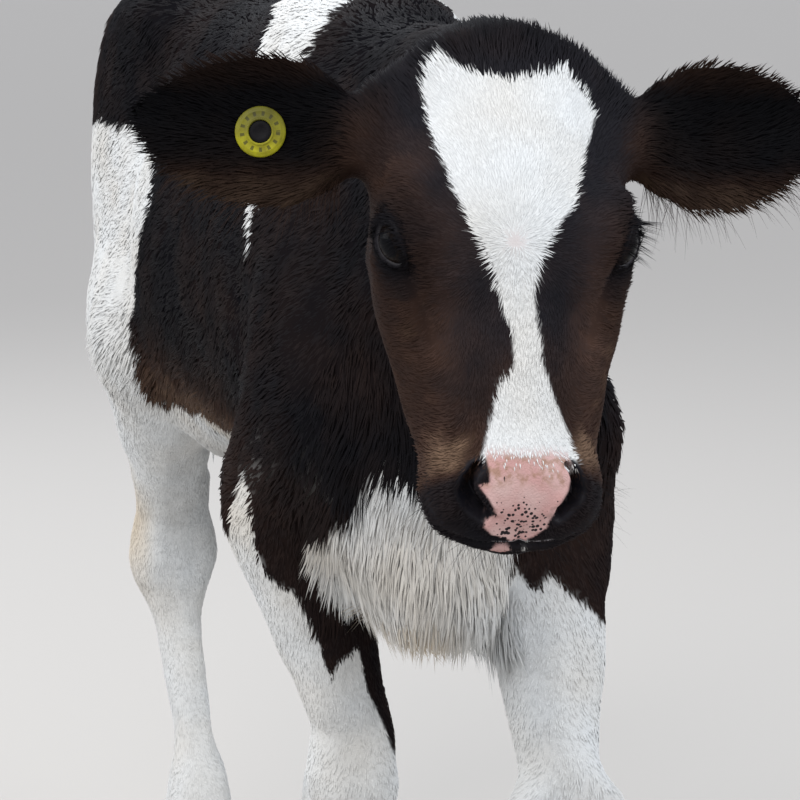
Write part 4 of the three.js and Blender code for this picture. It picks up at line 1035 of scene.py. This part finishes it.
def grow(name, chosen):
    """Builds one coat piece of closed, pointed blades, widest and highest below their middle."""
    half = width[chosen][:, None] / 2
    sideways, outward, forward = across[chosen], upward[chosen], along[chosen]
    waist = roots[chosen] + (middle[chosen] - roots[chosen]) * 0.84
    points = np.stack([roots[chosen], waist - sideways * half, waist + outward * half * 0.8,
                       waist + sideways * half, tip[chosen]], axis=1).reshape(-1, 3)
    turned = tilt[chosen][:, None] * sideways
    facing = np.stack([outward, outward - turned, outward - 0.1 * forward, outward + turned,
                       outward + 0.2 * forward], axis=1)
    index = (np.arange(len(chosen))[:, None, None] * 5 + TUFT_FACES[None]).reshape(-1, 3)
    tone = shade[chosen][:, None] * (1.0 + depth[chosen][:, None] * TUFT_TONES)
    marks = [np.repeat(column[chosen], 5) for column in (white, warm, cream)] + [tone.ravel()]
    places = (unwrap(name, chosen)[:, None, :] + TUFT_PATCH[None]).reshape(-1, 2)
    piece = hair_piece(name, points, index, marks, places)
    layer = piece.data.attributes.new("custom_normal", "FLOAT_VECTOR", "POINT")
    layer.data.foreach_set("vector", unit(facing.reshape(-1, 3)).astype(np.float32).ravel())


place_in = np.full(count, "coat_trunk_a", dtype="<U20")
x, y, z = body.T
for title, start in (("coat_trunk_b", -270.0), ("coat_trunk_c", -150.0), ("coat_trunk_d", -10.0),
                     ("coat_trunk_e", 120.0), ("coat_trunk_f", 250.0)):
    place_in[y > start] = title
place_in[(y < -360) & (skull < 0.5)] = "coat_neck"
limb = leg > 0.5
place_in[limb] = np.char.add(np.where(y < 0, "coat_foreleg_", "coat_hindleg_"),
                             np.where(x > 24, "left", "right"))[limb]
place_in[tail > 0.5] = "coat_tail"
place_in[skull >= 0.5] = np.where(head[:, 0] > 0, "coat_head_left", "coat_head_right")[skull >= 0.5]
place_in[ear >= 0.5] = np.where(head[:, 0] > 0, "coat_ear_left", "coat_ear_right")[ear >= 0.5]
for title in sorted(set(place_in)):
    grow(title, np.nonzero(place_in == title)[0])

# ---- Eyes
# Wet, nearly black globes under the lids, with the clear front standing a little proud. The dark
# brown iris surrounds a wide, level pupil.
eye_finish, eye_shader, sheet, place = new_finish("eye")
gaze = sheet.node("Attribute", "Vector", attribute_name="gaze")
toward = sheet.node("SeparateXYZ", 0, {0: gaze})
level, rise = toward.sibling(1), toward.sibling(2)
fibres = between(gaze.noise(9.0, 4.0), 0.3, 0.7)
iris = mixed(fibres, (0.003, 0.0022, 0.002), (0.010, 0.0055, 0.0035))
white_of_eye = mixed(fibres, (0.004, 0.003, 0.003), (0.012, 0.009, 0.008))
pupil_edge = ((level * level) * 0.42 + rise * rise) ** 0.5
iris_edge = (level * level + rise * rise) ** 0.5
inside = mixed(between(pupil_edge, 0.27, 0.31), (0.0010, 0.0012, 0.0022), iris)
mixed(between(iris_edge, 0.80, 0.88), inside, white_of_eye).feed(eye_shader, "Base Color")
for name, value in (("Roughness", 0.25), ("Specular IOR Level", 0.03), ("Coat Weight", 0.06),
                    ("Coat Roughness", 0.03)):
    eye_shader.inputs[name].default_value = value
for side, sign in (("left", 1), ("right", -1)):
    bpy.ops.object.select_all(action="DESELECT")
    bpy.ops.mesh.primitive_uv_sphere_add(segments=64, ring_count=40, radius=1.0)
    eye = bpy.context.object
    eye.name = "eyeball_" + side
    centre, sight, inner, up = eye_frame(sign)
    ball = points_of(eye.data)
    proud = 1.0 + 0.055 * ramp(ball[:, 2], 0.74, 1.0)
    layer = eye.data.attributes.new("gaze", "FLOAT_VECTOR", "POINT")
    behind = (ball[:, 2] < 0)[:, None]
    aimed = np.where(behind, 1.0, np.stack([ball[:, 2], ball[:, 0], ball[:, 1]], axis=1))
    layer.data.foreach_set("vector", aimed.astype(np.float32).ravel())
    ball = ball * (proud * (EYE_RADIUS - 0.0002))[:, None]
    axes = np.stack([inner, up, sight])
    put_points(eye.data, ball @ axes + centre)
    if np.linalg.det(axes) < 0:
        eye.data.flip_normals()
    bpy.ops.object.shade_smooth()
    eye.data.materials.append(eye_finish)
    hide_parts("eye_" + side)
    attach(eye, "root")

# ---- Lashes and whiskers
# Single long hairs: stiff dark lashes along the upper lids, sparser ones below, and fine feelers
# on the muzzle and chin. Each is a thin tapered three-sided rod.


def single_hairs(name, lines, thickness, white_share, warmth=0.0):
    """Joins tapered rods through rows of points, the same number of points on each row."""
    many, rows = lines.shape[:2]
    run = np.gradient(lines, axis=1)
    run /= np.linalg.norm(run, axis=2)[:, :, None]
    first = np.cross(run, np.array([0.31, 0.22, 0.93]))
    first /= np.linalg.norm(first, axis=2)[:, :, None]
    second = np.cross(run, first)
    taper = (1.0 - 0.86 * np.linspace(0.0, 1.0, rows) ** 1.4)[None, :, None] * thickness / 2
    rods = []
    for corner in range(3):
        turn = math.tau * corner / 3
        rods.append(lines + (first * math.cos(turn) + second * math.sin(turn)) * taper)
    points = np.stack(rods, axis=2).reshape(-1, 3)
    faces = [(0, 2, 1)]
    for row in range(rows - 1):
        for corner in range(3):
            a, b = 3 * row + corner, 3 * row + (corner + 1) % 3
            faces += [(a, b, b + 3), (a, b + 3, a + 3)]
    last = 3 * rows - 3
    faces.append((last, last + 1, last + 2))
    index = (np.arange(many)[:, None, None] * 3 * rows + np.array(faces)[None]).reshape(-1, 3)
    marks = side_by_side(np.repeat(rng.random(many) < white_share, 3 * rows), warmth, 0.0, 1.0)
    start = lines[:, 0, [0, 2]]
    place = 0.01 + 0.97 * (start - start.min(0)) / (start.max(0) - start.min(0))
    offset = np.stack([np.tile([-0.0015, 0.0015, 0.0], rows),
                       np.repeat(np.linspace(-0.0015, 0.0015, rows), 3)
                       + np.tile([0.0, 0.0, 0.0006], rows)], axis=1)
    places = (place[:, None, :] + offset[None]).reshape(-1, 2)
    return hair_piece(name, points, index, marks.T, places)


def drooping(root, reach, way, fall, rows):
    """The points along a hair that leaves its root one way and droops."""
    return [root + reach * (step * way + step ** 2 * np.array([0.0, 0.0, fall]))
            for step in np.linspace(0.0, 1.0, rows)]


LASHES, UPPER_LASHES = 84, 66
lashes = []
for sign in (1, -1):
    centre, sight, inner, up = eye_frame(sign)
    for number in range(LASHES):
        upper = number < UPPER_LASHES
        angle = math.radians(rng.uniform(58, 166) if upper else rng.uniform(225, 315))
        root = lid_place(sign, angle, EYE_RADIUS + 0.0016, 0.0004 + 0.0012 * rng.random())
        ray = (root - centre) / np.linalg.norm(root - centre)
        sweep = -inner * (0.15 + 0.35 * math.cos(math.pi - angle)) + rng.normal(size=3) * 0.05
        reach = rng.uniform(0.008, 0.015) if upper else rng.uniform(0.003, 0.005)
        start = sight * 0.75 + ray * 0.3 + sweep
        lashes.append([root + reach * (step * start - step ** 1.3 * up * (0.95 if upper else 0.2))
                       for step in np.linspace(0.0, 1.0, 6)])
single_hairs("lashes", np.array(lashes), 0.00032, 0.0)

WHISKERS = 260
whiskers = []
muzzle_roots = np.nonzero((skull > 0.5) & (head[:, 1] < -224) & (head[:, 2] < -46))[0]
for number in rng.choice(muzzle_roots, WHISKERS, replace=False):
    root, normal = roots[number], upward[number]
    sideways_on = HEAD_AXES @ [np.sign(head[number, 0]), 0.0, 0.0]
    reach = rng.uniform(0.008, 0.026) * (1.0 if head[number, 2] < -70 else 0.7)
    way = unit((normal + 0.35 * sideways_on + 0.3 * rng.normal(size=3))[None])[0]
    whiskers.append(drooping(root, reach, way, -0.35, 7))
single_hairs("whiskers", np.array(whiskers), 0.0002, 0.0)

# ---- Ear fringe
# Long soft hairs, brown as the ears' rims, that stand out past the lower edge of each ear. They are
# too few to hide it.
FRINGE_HAIRS = 480
fringe = []
at_rim = (ear > 0.9) & (np.abs(upward @ HEAD_AXES)[:, 2] < 0.8)
edge = np.nonzero(at_rim & (over_ear_middle(head) < -22.0))[0]
for number in rng.choice(edge, min(FRINGE_HAIRS, len(edge)), replace=False):
    root, normal = roots[number], upward[number]
    outward_on = HEAD_AXES @ [np.sign(head[number, 0]), 0.0, 0.0]
    way = unit((normal + 0.6 * outward_on + 0.25 * rng.normal(size=3))[None])[0]
    reach = rng.uniform(0.010, 0.026)
    fringe.append(drooping(root, reach, way, -0.3, 6))
single_hairs("ear_fringe", np.array(fringe), 0.00028, 0.0, warmth=0.9)

# ---- Tail switch
# The long pale hair that ends the tail, in locks that hang from the dock and taper to the tip.
low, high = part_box("tail_switch")
low, high = np.array(low), np.array(high)
LOCKS = 620
locks = []
for number in range(LOCKS):
    turn, radius = rng.uniform(0, math.tau), math.sqrt(rng.random())
    start = 1.32 - 0.95 * rng.random() ** 1.3
    top = np.array([*((low + high) / 2)[:2], low[2] + (high[2] - low[2]) * start])
    half = (high - low)[:2] / 2 * 0.8
    end = np.array([top[0], top[1], max(low[2] + 0.03 * radius, top[2] - rng.uniform(0.06, 0.16))])
    lock = []
    for step in np.linspace(0.0, 1.0, 7):
        spot = top + (end - top) * step
        height = (spot[2] - low[2]) / (high[2] - low[2])
        spread = 0.12 + 0.88 * ramp(height, 0.0, 0.45) * (1.0 - 0.5 * ramp(height, 0.6, 1.15))
        spot[:2] += half * spread * radius * np.array([math.cos(turn), math.sin(turn)])
        lock.append(spot)
    locks.append(lock)
switch = single_hairs("coat_switch", np.array(locks), 0.0028, 1.0)
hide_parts("tail_switch")

# ---- Hooves and dewclaws
# Split dark hooves with pale streaks and fine rings of growth, flat and worn below. Small horny
# dewclaws stand behind each fetlock.
horn_finish, horn_shader, sheet, place = new_finish("horn")
stretched = sheet.node("Mapping", 0, {"Vector": place, "Scale": (1.0, 1.0, 0.12)})
streaks = stretched.noise(260.0, 3.0)
growth = {"Vector": place, "Scale": 70.0, "Distortion": 1.2, "Detail": 2.0}
rings = sheet.node("TexWave", "Fac", growth, wave_type="BANDS", bands_direction="Z")
worn = between(sheet.node("SeparateXYZ", 2, {0: place}), 0.012, 0.0)
horn_dark = mixed(between(streaks, 0.35, 0.7), (0.035, 0.028, 0.023), (0.16, 0.115, 0.075))
mixed(worn * 0.6, horn_dark, (0.25, 0.21, 0.16)).feed(horn_shader, "Base Color")
(0.42 + streaks * 0.2 + worn * 0.2).feed(horn_shader, "Roughness")
(rings * 0.7 + streaks * 0.5).raise_on(horn_shader, 0.4, 0.0006)
SHARP = 0.9  # radians between faces, past which a hoof's edge is rounded off
ROUNDING = 0.0012
for name in sorted(frame["nodes"]):
    if not name.startswith(("hoof_", "dewclaw_")):
        continue
    bpy.ops.object.select_all(action="DESELECT")
    claw, shape = loose_copy(name, name.replace("hoof_", "claw_").replace("dewclaw_", "spur_"))
    claw.parent = None
    bmesh.ops.dissolve_limit(shape, angle_limit=math.radians(1.0), verts=shape.verts,
                             edges=shape.edges)
    sharp = [edge for edge in shape.edges
             if len(edge.link_faces) == 2 and edge.calc_face_angle() > SHARP]
    bmesh.ops.bevel(shape, geom=sharp, offset=ROUNDING, segments=2, affect="EDGES", profile=0.5)
    if name.startswith("dewclaw_"):  # narrower than its node, tapered and set closer to the leg
        middle = (Vector(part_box(name)[0]) + Vector(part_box(name)[1])) / 2
        for vertex in shape.verts:
            out = vertex.co - middle
            narrow = 0.86 - 0.34 * float(ramp(-out.z, 0.0, 0.010))
            vertex.co = middle + Vector((out.x * narrow, out.y * narrow - 0.003, out.z))
    bmesh.ops.triangulate(shape, faces=shape.faces)
    shape.to_mesh(claw.data)
    shape.free()
    claw.select_set(True)
    bpy.context.view_layer.objects.active = claw
    bpy.ops.object.shade_smooth_by_angle(angle=math.radians(50.0))
    claw.data.materials.clear()
    claw.data.materials.append(horn_finish)
    claw.data.polygons.foreach_set("material_index", np.zeros(len(claw.data.polygons), np.int32))
    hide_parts(name)
    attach(claw, "root")

# ---- Ear tag
# A moulded plastic ring on the hollow face of the right ear, worn, and darker towards its top
# with painted shade from the hair over it, held by a dark round stud whose pin runs through the
# ear into a plain disc on its back.
tag_finish, tag_shader, sheet, place = new_finish("tag")
cosine = sheet.node("SeparateXYZ", 0, {0: sheet.node("Attribute", "Vector", attribute_name="turn")})
sine, radius = cosine.sibling(1), cosine.sibling(2)
sector = sheet.node("Math", 0, {0: sine.maths("ARCTAN2", sine, cosine) * 2.1}, operation="FRACT")
in_ring = between(radius, 0.0089, 0.0092) * between(radius, 0.0117, 0.0114)
dash = between(sector, 0.18, 0.21) * between(sector, 0.56, 0.53) * in_ring
worn = place.noise(150.0, 4.0)
plastic = mixed(between(worn, 0.35, 0.7), (0.34, 0.32, 0.010), (0.20, 0.18, 0.012))
# Painted shade: the plastic is darker towards the ring's top, under the hair that overhangs it.
plastic = mixed(between(sine, 0.75, -0.95) * 0.8, plastic, (0.045, 0.042, 0.008))
mixed(dash * 0.75, plastic, (0.03, 0.028, 0.012)).feed(tag_shader, "Base Color")
(0.36 + worn * 0.2).feed(tag_shader, "Roughness")
tag_shader.inputs["Specular IOR Level"].default_value = 0.18
worn.raise_on(tag_shader, 0.25, 0.0004)
stud_finish, stud_shader, sheet, place = new_finish("stud")
scuffs = place.noise(300.0, 3.0)
mixed(scuffs, (0.003, 0.003, 0.004), (0.012, 0.011, 0.012)).feed(stud_shader, "Base Color")
(0.4 + scuffs * 0.2).feed(stud_shader, "Roughness")
stud_shader.inputs["Specular IOR Level"].default_value = 0.06
ring_points = points_of(frame["nodes"]["tag_ring"].data)
tag_centre = ring_points.mean(0)
tag_axis = np.linalg.svd(ring_points - tag_centre, full_matrices=False)[2][2]
disc_centre = points_of(frame["nodes"]["tag_disc"].data).mean(0)
tag_axis = tag_axis * np.sign(tag_axis @ (tag_centre - disc_centre))
tag_side = unit(np.cross(tag_axis, [0.0, 0.0, 1.0])[None])[0]
tag_up = np.cross(tag_axis, tag_side)
TAG_STEPS = 72
profiles = {  # distance from the pin's axis and height along it, in metres
    "tag_ring": [(0.0066, -0.0010), (0.0066, 0.0010), (0.0068, 0.00135), (0.0072, 0.0015),
                 (0.0077, 0.0014), (0.0080, 0.0010), (0.0084, 0.0008), (0.0114, 0.0007),
                 (0.0120, 0.0008), (0.0124, 0.0005), (0.0137, 0.0001), (0.0143, -0.0004),
                 (0.0145, -0.0008), (0.0142, -0.0012), (0.0069, -0.0012)],
    "tag_disc": [(0.0029, 0.0012), (0.0029, -0.0011), (0.0050, -0.0014), (0.0060, -0.0012),
                 (0.0128, -0.0011), (0.0138, -0.0009), (0.0144, -0.0003), (0.0145, 0.0003),
                 (0.0140, 0.0010), (0.0134, 0.0012)]}
for name in ("tag_ring", "tag_disc", "tag_stud"):
    node_points = (points_of(frame["nodes"][name].data) - tag_centre) @ tag_axis
    level = (node_points.min() + node_points.max()) / 2
    rows = profiles.get(name)
    if rows is None:
        foot, crown = node_points.min() - level, node_points.max() - level
        rows = [(0.0, foot), (0.0022, foot), (0.0026, foot + 0.0004)]
        rows += [(reach, crown - depth) for reach, depth in (
            (0.0026, 0.0016), (0.0060, 0.0016), (0.0064, 0.0012), (0.0063, 0.0004), (0.0052, 0.0),
            (0.0036, 0.0001), (0.0030, 0.0005), (0.0, 0.0006))]
    shape = bmesh.new()
    turn_layer = shape.verts.layers.float_vector.new("turn")
    rings = []
    for reach, height in rows:
        ring = []
        for step in range(TAG_STEPS if reach > 0 else 1):
            theta = math.tau * step / TAG_STEPS
            spoke = tag_side * math.cos(theta) + tag_up * math.sin(theta)
            vertex = shape.verts.new(tag_centre + spoke * reach + tag_axis * (height + level))
            vertex[turn_layer] = Vector((math.cos(theta), math.sin(theta), reach))
            ring.append(vertex)
        rings.append(ring)
    closed = rows[0][0] > 0
    for low, high in zip(rings, rings[1:] + ([rings[0]] if closed else [])):
        for step in range(TAG_STEPS):
            after = (step + 1) % TAG_STEPS
            around = [low[step % len(low)], low[after % len(low)],
                      high[after % len(high)], high[step % len(high)]]
            shape.faces.new(list(dict.fromkeys(around)))
    bmesh.ops.triangulate(shape, faces=shape.faces)
    bmesh.ops.recalc_face_normals(shape, faces=shape.faces)
    mesh = bpy.data.meshes.new("plain_" + name)
    shape.to_mesh(mesh)
    shape.free()
    piece = placed("plain_" + name, mesh)
    bpy.ops.object.select_all(action="DESELECT")
    piece.select_set(True)
    bpy.context.view_layer.objects.active = piece
    bpy.ops.object.shade_smooth_by_angle(angle=math.radians(50.0))
    mesh.materials.append(stud_finish if name == "tag_stud" else tag_finish)
    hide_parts(name)
    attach(piece, "root")
